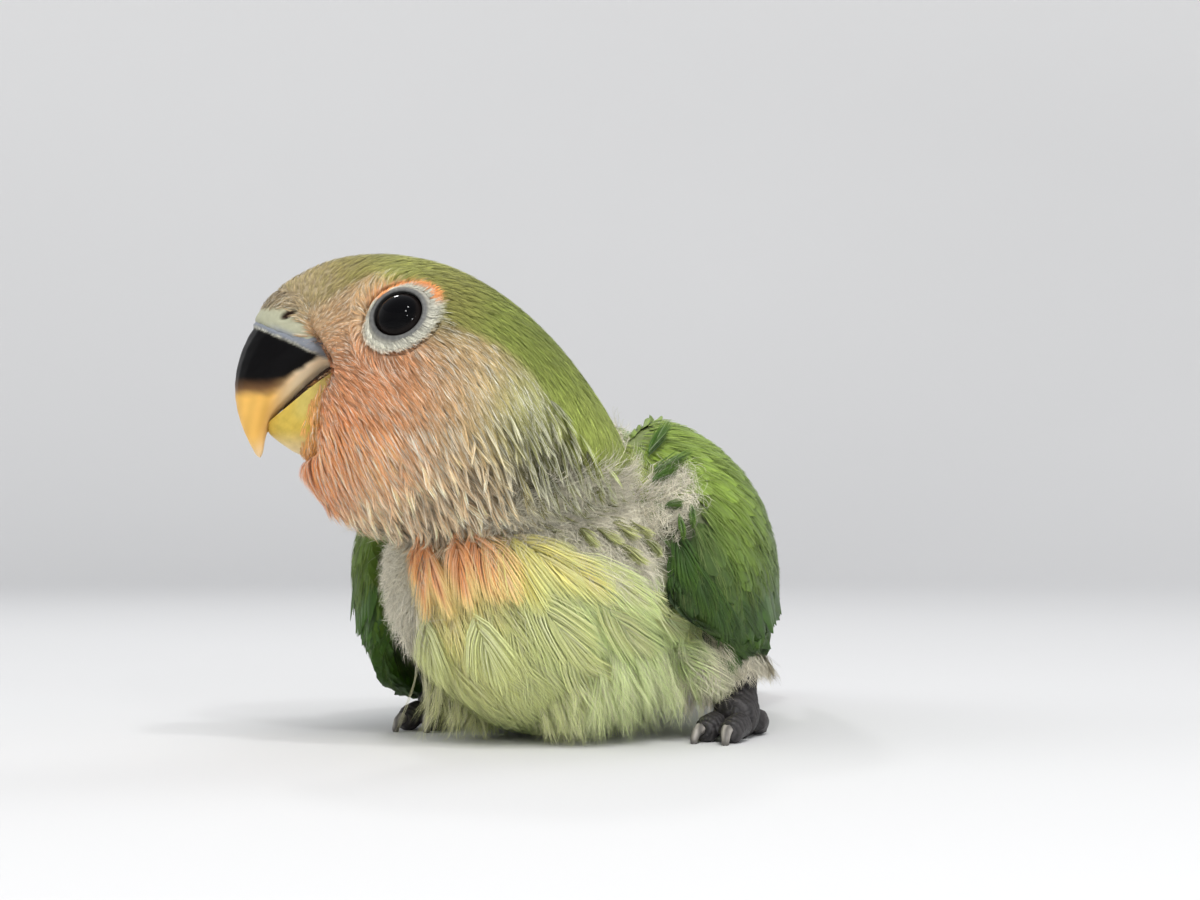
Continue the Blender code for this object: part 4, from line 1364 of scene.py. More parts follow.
def make_wing_coverts(side, sign):
    """Overlapping coverts over the folded wing, under a fine layer of loose barbs."""
    form = wing_form(side)
    rng = seeds(40 if sign > 0 else 41)

    def outer(middle):
        x, y, _ = in_body(middle).T
        return (x * sign > 9) & (y < 19) & wing_shown(middle, sign) & ~in_pit(middle)

    roots = form.scatter(2.0, rng, outer)
    place = in_body(roots)
    lengths = 6.0 + 4.5 * smooth(place[:, 1], -10, 14) + 0.8 * rng.random(len(roots))
    guides, normals = lay_guides(form, roots, wing_flow, lengths, 7, 0.45, 0.06, rng)
    guides = guides - normals * 0.55
    colours = wing_colour(guides[:, 3]) * rng.uniform(0.9, 1.08, (len(roots), 1))
    half = 1.35 + 0.6 * smooth(place[:, 1], -8, 14)
    piece = grow_vanes("coverts_" + side, guides, normals, colours, colours * 1.08, rng, half,
                       rows=9, columns=7, camber=0.2, fray=0.05, lift=(0.05, 0.55),
                       centre=wing_middle(sign))
    settle_piece(piece, "feather_wing")
    rng = seeds(42 if sign > 0 else 43)
    roots = form.scatter(1.12, rng, outer)
    lengths = 4.2 * (0.7 + 0.6 * rng.random(len(roots))) * sizes().tuft_length
    guides, normals = lay_guides(form, roots, wing_flow, lengths, 4, 0.4, 0.10, rng)
    guides = guides - normals * 0.55
    colours = wing_colour(guides[:, 2])
    colours = colours * (1 + 0.10 * mottle(guides[:, 0], 2.0))[:, None]
    piece = grow_tufts("covert_barbs_" + side, guides, normals, colours, rng, strips=8,
                       width=0.09, spread=(0.25, 0.4, 0.4), height=(0.35, 0.85), root_tone=0.85,
                       tip_tone=1.06, tilt=0.25, second=shade("belly"), share=0.16,
                       centre=wing_middle(sign))
    settle_piece(piece, "feather_wing")
    make_wing_edge(side, sign, form)
    if sign > 0:
        make_front_edge()


def wing_shown(middles, sign):
    """Which places of a wing's form stand clear of the trunk."""
    near = np.array([Coats.surface.tree.find_nearest(Vector(p))[2] for p in middles])
    wing = labelled(Coats.labels[near], "wing_L" if sign > 0 else "wing_R")
    return wing | (in_body(middles)[:, 1] > 14)


def make_wing_edge(side, sign, form):
    """Pointed feathers that reach past the wing's lower edge."""
    rng = seeds(44 if sign > 0 else 45)

    def wanted(middle):
        x, y, z = in_body(middle).T
        return ((x * sign > 12) & (y < 20) & (y > (-5 if sign > 0 else -99)) & (z > 12.5)
                & (z < 19.5 - 0.10 * y) & wing_shown(middle, sign))

    roots = form.scatter(1.7, rng, wanted)
    place = in_body(roots)
    rear = smooth(place[:, 1], -12, 2)
    lengths = 3.4 + 2.6 * rear + 0.55 * np.maximum(place[:, 2] - 13, 0)
    lengths = lengths * rng.uniform(0.85, 1.1, len(roots))
    guides, normals = lay_guides(form, roots, wing_flow, lengths, 8, 0.97, 0.06, rng)
    dark = shade("wing_dark") * rng.uniform(0.85, 1.2, (len(roots), 1))
    fresh = (rng.random(len(roots)) < 0.3)[:, None]
    edges = mixed(dark * 1.15, shade("wing_green"), fresh)
    piece = grow_vanes("wing_edge_" + side, guides - normals * 0.3, normals, dark, edges, rng,
                       1.0 + 0.45 * rear, rows=12, columns=7, camber=0.25, fray=0.05,
                       lift=(0.0, 0.35), centre=wing_middle(sign), pointed=True)
    settle_piece(piece, "feather_wing")


# Tips of the feathers along the left wing's lower edge, (aside, up) from the front of the body.
EDGE_TIPS = ((14.4, 15.4), (15.6, 13.2), (16.8, 11.2), (18.0, 9.4), (19.3, 8.0), (20.7, 7.2),
             (22.1, 7.4), (23.4, 8.3), (15.0, 18.2), (16.8, 15.4), (18.4, 13.0), (20.0, 11.0),
             (21.8, 10.4), (23.6, 11.2))
EDGE_REACH = (-2.2, 7.0)


def make_front_edge():
    """Pointed dark feathers along the diagonal lower edge of the left wing."""
    rng = seeds(49)
    guides, normals = seen_lines([(np.add(tip, EDGE_REACH), tip) for tip in EDGE_TIPS], 8)
    dark = (shade("wing_dark") + shade("wing_blue")) * 0.5
    dark = dark * rng.uniform(0.85, 1.2, (len(guides), 1))
    grow_fans("wing_edge_front", guides, normals, rng.uniform(1.3, 1.8, len(guides)), dark,
              dark * 0.6 + shade("wing_green") * 0.5, rng, 60, (0.6, 1.7), "feather_wing", 0.04)


# Loose feathers as (root, tip) seen from the front of the body, (aside, up), with half a width.
SHOULDER_FEATHERS = (((9.5, 33.0), (12.0, 35.9), 0.65), ((10.1, 31.0), (14.2, 32.4), 0.6),
                     ((9.9, 30.0), (13.0, 30.9), 0.45), ((11.6, 27.4), (13.6, 27.0), 0.35),
                     ((14.2, 27.4), (14.6, 24.6), 0.3), ((13.2, 26.4), (13.9, 23.6), 0.3),
                     ((3.0, 24.6), (5.4, 22.6), 0.45), ((4.6, 25.2), (7.2, 23.2), 0.45),
                     ((6.4, 25.4), (8.6, 23.4), 0.4), ((1.0, 24.6), (3.0, 22.4), 0.4),
                     ((7.6, 23.8), (10.0, 21.6), 0.4), ((5.0, 23.2), (7.8, 20.8), 0.45))


def make_shoulder_feathers():
    """Small new feathers that stand out of the down at the shoulder."""
    rng = seeds(48)
    guides, normals = seen_lines([feather[:2] for feather in SHOULDER_FEATHERS], 6)
    halves = np.array([half for _, _, half in SHOULDER_FEATHERS])
    near_wing = smooth(guides[:, 0] @ FRONT_RIGHT - BODY_ORIGIN @ FRONT_RIGHT, 7.0, 9.0)[:, None]
    roots = mixed(shade("ruff_rear"), shade("wing_dark"), near_wing)
    tips = mixed(shade("belly") * 0.9, shade("wing_green"), near_wing)
    grow_fans("shoulder_feathers", guides, normals, halves, roots * 1.2, tips, rng, 44, (2.0, 3.3),
              "feather_wing", 0.2)


def make_trousers(side, sign):
    """Loose feathers that hang over the top of the shank."""
    rng = seeds(46 if sign > 0 else 47)
    low, high = node_box("shank_" + side)
    middle, half = (low + high) / 2, (high - low) / 2
    count = 150
    angle = rng.uniform(0, 2 * math.pi, count)
    ring = np.column_stack((np.cos(angle) * 2.5, np.sin(angle) * 3.0 + half[1] * 0.3))
    tops = np.column_stack((middle[:2] + ring, high[2] + rng.uniform(-1.0, 0.6, count)))
    falls = np.column_stack((ring * 0.16, -rng.uniform(1.8, 3.6, count)))
    guides = tops[:, None] + falls[:, None] * np.linspace(0, 1, 6)[None, :, None]
    face = unit(np.column_stack((ring, np.zeros(count))))
    normals = np.repeat(face[:, None], 6, axis=1)
    colours = np.repeat(shade("down")[None] * 0.9, count, axis=0)
    piece = grow_tufts("coat_trousers_" + side, guides, normals, colours, rng, strips=14, steps=4,
                       width=0.08, spread=(0.5, 0.8, 1.1), height=(0.0, 1.0), tone=0.14,
                       root_tone=0.7, tip_tone=1.1, curl=0.5, shorter=0.4,
                       second=shade("eye_white"), share=0.4)
    settle_piece(piece, "down")


def wing_form(side):
    """Outer form of the whole folded wing, flight feathers included, for laying long feathers."""
    helper = remeshed_copy("wing_form", ("wing_" + side, "flight_" + side), 0.3, 0.8 * MM, 4)
    form = Surface(helper)
    bpy.data.objects.remove(helper, do_unlink=True)
    return form


FLIGHTS = 12
SHAFT_STEPS = 14


def make_flights(side, sign):
    """Primaries and secondaries folded over each other along the wing."""
    form = wing_form(side)
    place = in_body(form.points)

    def outer_point(y, share):
        """Place on the wing's outer side at a distance along the body and a share of its height."""
        near = np.abs(place[:, 1] - y) < 1.0
        if not near.any():
            near = np.abs(place[:, 1] - y) < 3.0
        low, high = place[near, 2].min(), place[near, 2].max()
        start = BODY_ORIGIN + np.array((sign * 60.0, y, low + (high - low) * share))
        hit = form.tree.ray_cast(Vector(start), Vector((-sign, 0, 0)))
        if hit[0] is None:
            hit = form.tree.find_nearest(Vector(start - (sign * 45.0, 0, 0)))
        return np.array(hit[0])

    rng = seeds(50 if sign > 0 else 51)
    guides, normals, halves = [], [], []
    for k in range(FLIGHTS):
        share = k / (FLIGHTS - 1)
        root_y = 9.0 + 6.0 * (1 - share)
        tip_y = 50.2 - 17.0 * share ** 1.2
        line = []
        for i in range(SHAFT_STEPS + 1):
            t = i / SHAFT_STEPS
            y = root_y + (tip_y - root_y) * t
            level = 0.10 + 0.78 * share + (0.38 - 0.10 - 0.5 * share) * t * (1 - 0.3 * share)
            line.append(outer_point(min(y, 50.0), min(max(level, 0.08), 0.93)))
        line = np.array(line)
        line = line + rng.normal(0, 0.02, line.shape)
        even_out(line)
        _, normal = form.settle(line)
        guides.append(line - normal * (0.95 - 0.09 * k))
        normals.append(normal)
        halves.append(2.5 + 0.5 * share)
    guides, normals, halves = np.array(guides), np.array(normals), np.array(halves)
    dark = np.broadcast_to(shade("flight_dark"), (FLIGHTS, 3))
    green = shade("wing_green") * 0.75
    share = np.linspace(0, 1, FLIGHTS)[:, None]
    colours = dark * (1 - share * 0.75) + green * share * 0.75
    edges = dark * 0.2 + green * 1.05 + share * 0.3 * (green - dark)
    piece = grow_vanes("flights_" + side, guides, normals, colours, edges, rng, halves, rows=18,
                       columns=9, camber=0.16, fray=0.03, lift=(0.0, 0.1),
                       centre=(0.0, 20.0, 20.0), thick=0.14)
    settle_piece(piece, "feather_flight", "flight_" + side)


TAIL_FEATHERS = 10


def make_tail():
    """A short fan of tail feathers, the middle pair on top."""
    rng = seeds(60)
    low, high = node_box("tail")
    guides, normals, colours, edges = [], [], [], []
    for k in range(TAIL_FEATHERS):
        offset = (k - (TAIL_FEATHERS - 1) / 2) / ((TAIL_FEATHERS - 1) / 2)
        stack = 1 - abs(offset)
        line = []
        for i in range(SHAFT_STEPS + 1):
            t = i / SHAFT_STEPS
            y = low[1] - 3.5 + (high[1] - 0.3 - 4.0 * abs(offset) ** 1.5 - low[1] + 3.5) * t
            share = (y - low[1]) / (high[1] - low[1])
            x = offset * (2.2 + 3.3 * min(1.0, max(0.0, share) * 1.3))
            top = high[2] - 0.35 - (high[2] - low[2] - 1.0) * max(share, -0.1) * 0.97
            line.append(((low[0] + high[0]) / 2 + x, y, top - 1.5 + 1.2 * stack - 0.02 * x * x))
        guides.append(line)
        normals.append([(offset * 0.15, 0.3, 1.0)] * (SHAFT_STEPS + 1))
        green = shade("wing_green") * 0.8
        colours.append(green * stack + shade("tail_red") * (1 - stack) * 0.8)
        edges.append(green * 0.9)
    piece = grow_vanes("tail_feathers", np.array(guides), unit(np.array(normals)),
                       np.array(colours), np.array(edges), rng, np.full(TAIL_FEATHERS, 2.1),
                       rows=18, columns=9, camber=0.1, fray=0.03, lift=(0.0, 0.1),
                       centre=(0.0, 40.0, 0.0), thick=0.14)
    points = in_body(read_points(piece))
    layer = piece.data.color_attributes["plumage"]
    values = np.empty(len(points) * 4)
    layer.data.foreach_get("color", values)
    values = values.reshape(-1, 4)
    along_tail = (points[:, 1] - 40) / 27
    band = 0.85 * smooth(along_tail, 0.66, 0.74) * smooth(along_tail, 0.9, 0.84)
    values[:, :3] = mixed(values[:, :3], shade("flight_dark"), band[:, None])
    layer.data.foreach_set("color", values.ravel())
    settle_piece(piece, "feather_tail", "tail")


# Eyes, bill, feet

LID_INNER = 2.82
LID_OUTER = 4.3
LID_TOP = 2.2
LID_CREST = 2.9
LID_TURNS = 120
GROUND_TURNS = 72


def ground_round_eye(side):
    """Height of the skin along the eye's axis, for equal turns round it."""
    first, second = EYE_FRAME[side]
    heights = []
    for i in range(GROUND_TURNS):
        angle = 2 * math.pi * i / GROUND_TURNS
        start = (EYE[side] + (first * math.cos(angle) + second * math.sin(angle)) * LID_OUTER
                 + EYE_AXIS[side] * 9)
        hit = Coats.surface.tree.ray_cast(Vector(start), Vector(-EYE_AXIS[side]), 14)
        heights.append(9 - hit[3] if hit[0] is not None else 1.2)
    heights = np.array(heights)
    around = np.concatenate((heights, heights, heights))
    return np.convolve(around, np.ones(7) / 7, "same")[GROUND_TURNS:2 * GROUND_TURNS]


def lid_height(ground, reach, angle):
    """Height of the lids above the eye's centre, falling to the skin at their outer edge."""
    turns = np.arange(GROUND_TURNS + 1) * 2 * math.pi / GROUND_TURNS
    skin = np.interp(np.mod(angle, 2 * math.pi), turns, np.append(ground, ground[0]))
    top = LID_TOP - 0.30 * (reach - LID_CREST) ** 2 - 0.5 * np.maximum(LID_CREST - reach, 0) ** 2
    return mixed(top, skin + 0.12, smooth(reach, 3.2, LID_OUTER))


def round_eye(side, points):
    """(distance from the eye's axis, angle round it)."""
    first, second = EYE_FRAME[side]
    offset = points - EYE[side]
    a, b = offset @ first, offset @ second
    return np.hypot(a, b), np.arctan2(b, a)


def make_eyeball(side, place, material):
    """A round eye, black but for a dark brown iris."""
    ball = new_primitive("uv_sphere", "eyeball_" + side, segments=72, ring_count=48,
                         radius=EYE_BALL * MM)
    ball.data.transform(place)
    ball.data.shade_smooth()
    out, across = from_eye(read_points(ball), side)
    iris = smooth(across, 2.1, 2.35) * smooth(across, 2.8, 2.65) * (out > 0)
    paint(ball, np.array(PUPIL) + iris[:, None] * np.array(IRIS))
    ball.data.materials.append(material)
    settle_piece(ball, "eye", "eye_" + side)


def make_lids(side, place, material, ground):
    """A torus drawn out into folds of bare skin, from the eye's rim to the feathers."""
    section = [(reach, -0.03 * math.sin(reach * 19.0))
               for reach in np.linspace(LID_INNER, LID_OUTER, 18)]
    section += [(LID_OUTER, 0.9), (3.4, 1.5), (2.95, 1.3), (LID_INNER, 0.7)]
    lid = new_primitive("torus", "lids_" + side, major_segments=LID_TURNS,
                        minor_segments=len(section), major_radius=3 * MM, minor_radius=0.5 * MM)
    waves = np.tile(seeds(70).normal(0, 1, LID_TURNS), 3)
    waves = np.convolve(waves, np.ones(3) / 3, "same")[LID_TURNS:2 * LID_TURNS]
    rings = []
    for i, wave in enumerate(waves):
        angle = 2 * math.pi * i / LID_TURNS
        for j, (reach, depth) in enumerate(section):
            fold = 0.045 * wave * (1 < j < 14)
            level = float(lid_height(ground, reach, angle)) - depth + fold
            rings.append((math.cos(angle) * (reach + fold * 0.4),
                          math.sin(angle) * (reach + fold * 0.4), level))
    write_points(lid, np.array(rings))
    lid.data.transform(place)
    apply_modifier(lid, "SUBSURF", levels=1, render_levels=1)
    turn_outwards(lid)
    points = read_points(lid)
    _, across = from_eye(points, side)
    _, angle = round_eye(side, points)
    rim = smooth(across, 3.08, LID_INNER)[:, None]
    pale = smooth(across, 3.25, 3.7)[:, None]
    wrinkles = 0.5 * np.sin(angle * 46 + 2.0 * np.sin(angle * 5)) + 0.5 * np.sin(angle * 29)
    streak = (1 + 0.10 * mottle(points, 0.22) + 0.12 * wrinkles)[:, None]
    colours = mixed(shade("lid") * (1 - rim * 0.6), shade("eye_white"), 0.45 * pale)
    paint(lid, colours * streak)
    lid.data.materials.append(material)
    settle_piece(lid, "eye_ring", "eye_ring_" + side)


# The eye's own darkness and what the iris adds to it, as light.
PUPIL = (0.0015, 0.0015, 0.002)
IRIS = (0.006, 0.004, 0.003)


def make_eyes():
    """Wet dark eyes in bare grey wrinkled lids, with a ring of tiny pale feathers."""
    lid_skin = skin_material("Bare lid skin", 0.55, 2600.0, 0.00008, 0.18)
    wet, tree, shader = new_material("Wet eye", Roughness=0.025, Specular_IOR_Level=0.085)
    colour = add_node(tree, "ShaderNodeVertexColor", layer_name="plumage")
    join(tree, colour, "Color", shader, "Base Color")
    for side in "LR":
        turn = Vector(EYE_AXIS[side]).to_track_quat("Z", "Y").to_matrix().to_4x4()
        place = Matrix.Translation(Vector(EYE[side]) * MM) @ turn
        make_eyeball(side, place, wet)
        ground = ground_round_eye(side)
        make_lids(side, place, lid_skin, ground)
        make_eye_feathers(side, ground)


def make_eye_feathers(side, ground):
    """The ring of tiny white feathers that lies outwards round the lids."""
    rng = seeds(80 if side == "L" else 81)
    axis = EYE_AXIS[side]
    up = unit(UP - axis * (UP @ axis))
    ahead = unit(FORWARD - axis * (FORWARD @ axis))
    count = 1500
    angle = rng.uniform(0, 2 * math.pi, count)
    outward = np.cos(angle)[:, None] * ahead + np.sin(angle)[:, None] * up
    room = 0.70 - 0.25 * smooth(np.sin(angle), 0.0, 0.9) + 0.35 * smooth(-np.cos(angle), 0.2, 1.0)
    start = 3.50 + room * rng.random(count) ** 1.3
    heading = unit(outward * 0.75 - ahead * 0.75 - up * 0.12)
    lengths = rng.uniform(0.7, 1.3, count) * (1 + 0.25 * smooth(-np.cos(angle), 0.0, 1.0))
    t = np.linspace(0, 1, 4)
    guides = (EYE[side] + outward[:, None] * start[:, None, None]
              + heading[:, None] * (lengths[:, None] * t)[:, :, None])
    reach, angle = round_eye(side, guides.reshape(-1, 3))
    level = lid_height(ground, reach, angle)
    near, _ = Coats.surface.settle(guides.reshape(-1, 3) + axis * 2.0)
    skin = (near - EYE[side]) @ axis + 0.35
    share = smooth(reach, LID_OUTER - 0.5, LID_OUTER + 0.3)
    level = mixed(level, np.maximum(skin, level - 1.5), share)
    guides = guides + axis * (level.reshape(count, 4))[..., None]
    guides = guides + axis * (0.02 + 0.22 * t)[None, :, None]
    good = (reach.reshape(count, 4) > 3.35).all(axis=1)
    guides, start, outward = guides[good], start[good], outward[good]
    count = len(guides)
    normals = np.tile(axis, (count, 4, 1)) + unit(guides - HEAD_ORIGIN) * 0.2
    colours = shade("eye_white") * rng.uniform(0.6, 1.12, (count, 1))
    warm = (smooth(outward @ up, 0.25, 0.6) * smooth(start, 3.55, 3.65))[:, None]
    colours = mixed(colours, shade("orange") * 0.3 + shade("peach_deep") * 0.8, warm)
    fade = (smooth(start, 3.8, 4.5) * 0.55)[:, None]
    colours = mixed(colours, head_colour(guides[:, -1]), fade)
    piece = grow_tufts("eye_feathers_" + side, guides, unit(normals), colours, rng, strips=4,
                       steps=2, width=0.085, spread=(0.06, 0.07, 0.03), height=(0.0, 0.2),
                       root_tone=0.55, tip_tone=1.12, axis=axis, centre=EYE[side])
    settle_piece(piece, "plumage_head")


def make_horn(name, nodes, slot_name, colour_of, material, shape, rounds, swell=0.0, voxel=None):
    """A smooth copy of solids at fine detail, shaped and painted."""
    piece = remeshed_copy(name, nodes, swell, voxel or sizes().horn_voxel, rounds)
    points = shape(read_points(piece), read_normals(piece))
    write_points(piece, points)
    paint(piece, colour_of(points))
    piece.data.materials.append(material)
    settle_piece(piece, slot_name, *nodes)
    return piece


def cere_border(forward):
    """Height where the cere ends above the black of the bill."""
    return -2.16 - (15.85 - forward) * 0.448


def bill_upper_colour(points):
    u, _, z = in_head(points).T
    edge = np.interp(u, (7.2, 8.8, 10.6, 12.6, 14.8, 16.8, 18.8),
                     (-4.4, -5.3, -6.7, -8.0, -8.4, -8.5, -8.3))
    below = z - edge + 0.14 * mottle(points, 0.9) + 0.10 * mottle(points, 0.4)
    front = smooth(u, 11.0, 14.5)
    black = smooth(below, -0.5 - 0.6 * front, 0.4 + 0.3 * front)[:, None]
    brown = (smooth(below + 0.8 * front, -0.6 - 0.6 * front, 0.3) * (0.08 + 0.75 * front))[:, None]
    low = smooth(u + 0.35 * (z + 11), 15.0, 12.0)[:, None]
    warm = shade("bill_amber") * (1 + 0.05 * np.sin(u * 4.0 + z))[:, None]
    horn = mixed(warm, shade("bill_edge"), low)
    ruddy = (smooth(below + 1.7, 0.0, 1.4) * smooth(u, 11.5, 14.0))[:, None] * 0.5
    horn = mixed(horn, shade("bill_edge") * 0.5 + shade("bill_brown") * 0.9, ruddy)
    colour = mixed(horn, shade("bill_brown"), brown)
    colour = mixed(colour, shade("bill_black"), black)
    pale = smooth(z, -14.2, -17.2)[:, None] * 0.45
    colour = mixed(colour, shade("bill_edge"), pale)
    over = z - cere_border(u) + 0.10 * mottle(points, 0.35)
    cover = smooth(over, -0.05, 0.12)[:, None] * (z > -6.2)[:, None]
    colour = mixed(colour, shade("cere_grey"), cover)
    flaky = np.exp(-(over / 0.13) ** 2) * (0.55 + 0.45 * mottle(points, 0.2)) * (z > -6.0)
    return mixed(colour, shade("eye_white"), flaky[:, None])


def bill_lower_colour(points):
    u, _, z = in_head(points).T
    rear = smooth(u, 10.5, 7.5)[:, None] * 0.75
    spots = (1 + 0.10 * mottle(points, 0.4) + 0.06 * mottle(points, 0.13))[:, None]
    yellow = shade("bill_lower")
    colour = mixed(yellow, yellow * 0.45 + shade("peach") * 0.3, rear)
    green = (smooth(z, -13.5, -11.5) * smooth(u, 12.5, 10.5))[:, None] * 0.35
    colour = mixed(colour, shade("cheek_green"), green)
    tip = smooth(z, -13.6, -16.4)[:, None] * 0.5
    return mixed(colour, shade("bill_edge"), tip) * spots


def cere_colour(points):
    place = in_head(points)
    u, _, z = place.T
    grey = smooth(z - cere_border(u), 1.5, 0.5)[:, None] * smooth(u, 15.2, 13.0)[:, None]
    colour = mixed(shade("cere"), shade("cere_grey"), grey)
    top = smooth(z - 0.15 * (u - 12) + 0.2 * mottle(points, 0.7), -1.0, 0.6)[:, None]
    colour = colour * (1 - 0.75 * top) + shade("forehead") * 0.62 * top
    # Painted shade: the nostril holes are painted dark brown, as their hollows lie in shade.
    dark = np.ones(len(points))
    for side in (1, -1):
        dark = np.minimum(dark, smooth(nostril_gap(place, side), 0.7, 1.25))
    return mixed(shade("bill_brown") * 0.35, colour, dark[:, None])


NOSTRIL = (12.3, 5.0, -0.75)
NOSTRIL_SIZE = np.array((0.85, 1.6, 0.45))
NOSTRIL_SLANT = 0.45


def nostril_gap(place, side):
    """How far head places lie from a nostril's middle, 1 at its rim."""
    offset = place - (NOSTRIL[0], side * NOSTRIL[1], NOSTRIL[2])
    offset[:, 2] += offset[:, 0] * NOSTRIL_SLANT
    return np.linalg.norm(offset / NOSTRIL_SIZE, axis=1)


def face_plane(rise):
    """How far forward the bill's base meets the feathers, at a height in the head."""
    return np.interp(rise, (-19, -17, -14, -12, -8.6, -6.8, -4.3, -1.6, 1.2, 2.5),
                     (6.2, 6.6, 8.0, 8.4, 7.4, 7.2, 8.6, 10.6, 11.2, 17.0))


def root_in_head(points, reach):
    """Draws the rear faces of a bill piece back into the head, so that no gap shows."""
    place = in_head(points)
    share = smooth(place[:, 0] - face_plane(place[:, 2]), 1.1, 0.4)
    points = points - FORWARD * (share * reach)[:, None]
    return points - LEFT * (place[:, 1] * share * 0.22)[:, None]


def shape_cere(points, normals):
    place = in_head(points)
    for side in (1, -1):
        gap = nostril_gap(place, side)
        points = points - normals * (smooth(gap, 1.25, 0.45) * 0.8)[:, None]
        points = points + normals * (0.10 * np.exp(-((gap - 1.55) / 0.35) ** 2))[:, None]
    high = smooth(place[:, 2], -1.2, 1.6) * smooth(place[:, 0], 13.6, 15.4)
    points = points - (FORWARD * 0.6 + UP * 0.1) * high[:, None]
    return root_in_head(points, 2.2)


def grow_fuzz(name, offset, form, line, fade, spacing, reach, flow, colour_of, strips, clear=0.0,
              yaw=0.2, height=(0.02, 0.45)):
    """Sparse short feathers over a bare piece, thinning out towards a line on it.

    line takes head places and is above 0 where feathers grow, thickest past fade.
    """
    rng = seeds(offset)

    def wanted(middle):
        place = in_head(middle)
        gap = np.minimum(nostril_gap(place, 1), nostril_gap(place, -1))
        return (line(place) > 0) & (gap > clear)

    roots = form.scatter(spacing, rng, wanted)
    roots = roots[rng.random(len(roots)) < 0.25 + 0.75 * smooth(line(in_head(roots)), 0.0, fade)]
    lengths = rng.uniform(reach[0], reach[1], len(roots))
    guides, normals = lay_guides(form, roots, flow, lengths, 3, 0.8, yaw, rng)
    colours = colour_of(guides[:, -1]) * rng.uniform(0.75, 1.1, (len(roots), 1))
    grown = grow_tufts(name, guides, normals, colours, rng, strips=strips, steps=2, width=0.075,
                       spread=(0.12, 0.16, 0.14), height=height, tone=0.15, root_tone=0.82,
                       tip_tone=1.15, second=shade("eye_white"), share=0.6, picked=0.2,
                       axis=FORWARD, centre=from_head((8, 0, -4)))
    settle_piece(grown, "plumage_head")


def make_cere_fuzz(cere):
    """Fuzz that the forehead sends over the top of the cere, and the face over its rear."""
    form = Surface(cere)
    grow_fuzz("coat_cere_fuzz", 85, form,
              lambda p: np.minimum(p[:, 2] + 0.15 - 0.18 * (p[:, 0] - 15.4), p[:, 0] - 9.5), 1.1,
              0.26, (0.8, 1.8), lambda p: -FORWARD + UP * 0.25 + LEFT * (in_head(p)[:, 1:2] * 0.08),
              lambda p: np.broadcast_to(shade("forehead") * 0.85, p.shape), strips=3, clear=1.9,
              yaw=0.35)
    grow_fuzz("coat_lore_fuzz", 86, form, lambda p: lore_line(p[:, 2]) - p[:, 0], 0.6, 0.30,
              (1.3, 2.2), head_flow, head_colour, strips=5, clear=1.5)


def make_chin_fuzz(piece):
    """Fine feathers that spread over the rear of the lower bill."""
    edge = lambda p: np.interp(p[:, 2], (-17.5, -14, -10, -7), (11.3, 10.7, 9.7, 7.7)) - p[:, 0]
    grow_fuzz("coat_chin_fuzz", 87, Surface(piece, in_order=False), edge, 1.8, 0.30, (1.2, 2.2),
              head_flow, lambda p: mixed(head_colour(p), shade("bill_lower"), 0.35), strips=4,
              height=(0.02, 0.6))


def lore_line(rise):
    """How far forward the feathers in front of the eye reach over the cere."""
    return np.interp(rise, (-6.5, -5.0, -1.4, 0.6, 1.5), (7.6, 8.7, 10.5, 11.3, 12.0))


def shape_bill(points, normals):
    u, _, z = in_head(points).T
    swollen = 0.34 * smooth(z - cere_border(u), -0.12, 0.2) * smooth(z, -6.6, -6.0)
    ridges = 0.012 * np.sin((z + u * 0.55) * 4.0)
    return root_in_head(points + normals * (ridges + swollen)[:, None], 3.0)


# The lower bill at distances forward, from the hidden root to the tip.
LOWER_FORWARD = (4.5, 7.1, 9.0, 10.5, 12.0, 13.5, 14.6, 15.05)
LOWER_RIM = (-5.3, -7.05, -8.35, -9.5, -10.75, -11.9, -12.7, -13.2)
LOWER_KEEL = (-16.7, -17.3, -17.3, -16.9, -16.2, -15.2, -14.3, -13.6)
LOWER_HALF_WIDTH = (4.9, 4.75, 4.6, 4.35, 3.85, 2.9, 1.6, 0.0)


def make_lower_bill(material):
    """The broad lower bill, a round sphere drawn out into a scoop."""
    piece = new_primitive("uv_sphere", "bill_bottom", segments=96, ring_count=72, radius=1.0)
    ball = read_points(piece) * MM
    share = np.arccos(np.clip(ball[:, 2], -1, 1)) / math.pi
    ring = np.maximum(np.hypot(ball[:, 0], ball[:, 1]), 1e-6)
    side, rise = ball[:, 0] / ring, ball[:, 1] / ring
    u = LOWER_FORWARD[-1] - (LOWER_FORWARD[-1] - LOWER_FORWARD[0]) * share ** 1.4
    rim, keel, width = (np.interp(u, LOWER_FORWARD, row) for row in
                        (LOWER_RIM, LOWER_KEEL, LOWER_HALF_WIDTH))
    closed = smooth(share, 1.0, 0.97)
    depth = np.clip((0.6 - rise) / 1.6, 0, 1)
    flank = (1 - depth ** 2.6) ** (1 / 2.6)
    top = rise > 0.6
    across = np.where(top, side / 0.8, np.sign(side) * flank)
    sunk = np.where(top, 0.9 * (1 - (side / 0.8) ** 2), 0.0)
    z = rim + (keel - rim) * np.where(top, 0.0, depth) - sunk
    z = mixed((rim + keel) / 2, z, closed)
    place = np.column_stack((u, width * across * closed, z))
    write_points(piece, from_head(place))
    apply_modifier(piece, "SMOOTH", factor=0.5, iterations=2)
    turn_outwards(piece)
    paint(piece, bill_lower_colour(read_points(piece)))
    piece.data.materials.append(material)
    settle_piece(piece, "bill_lower", "bill_lower")
    make_chin_fuzz(piece)


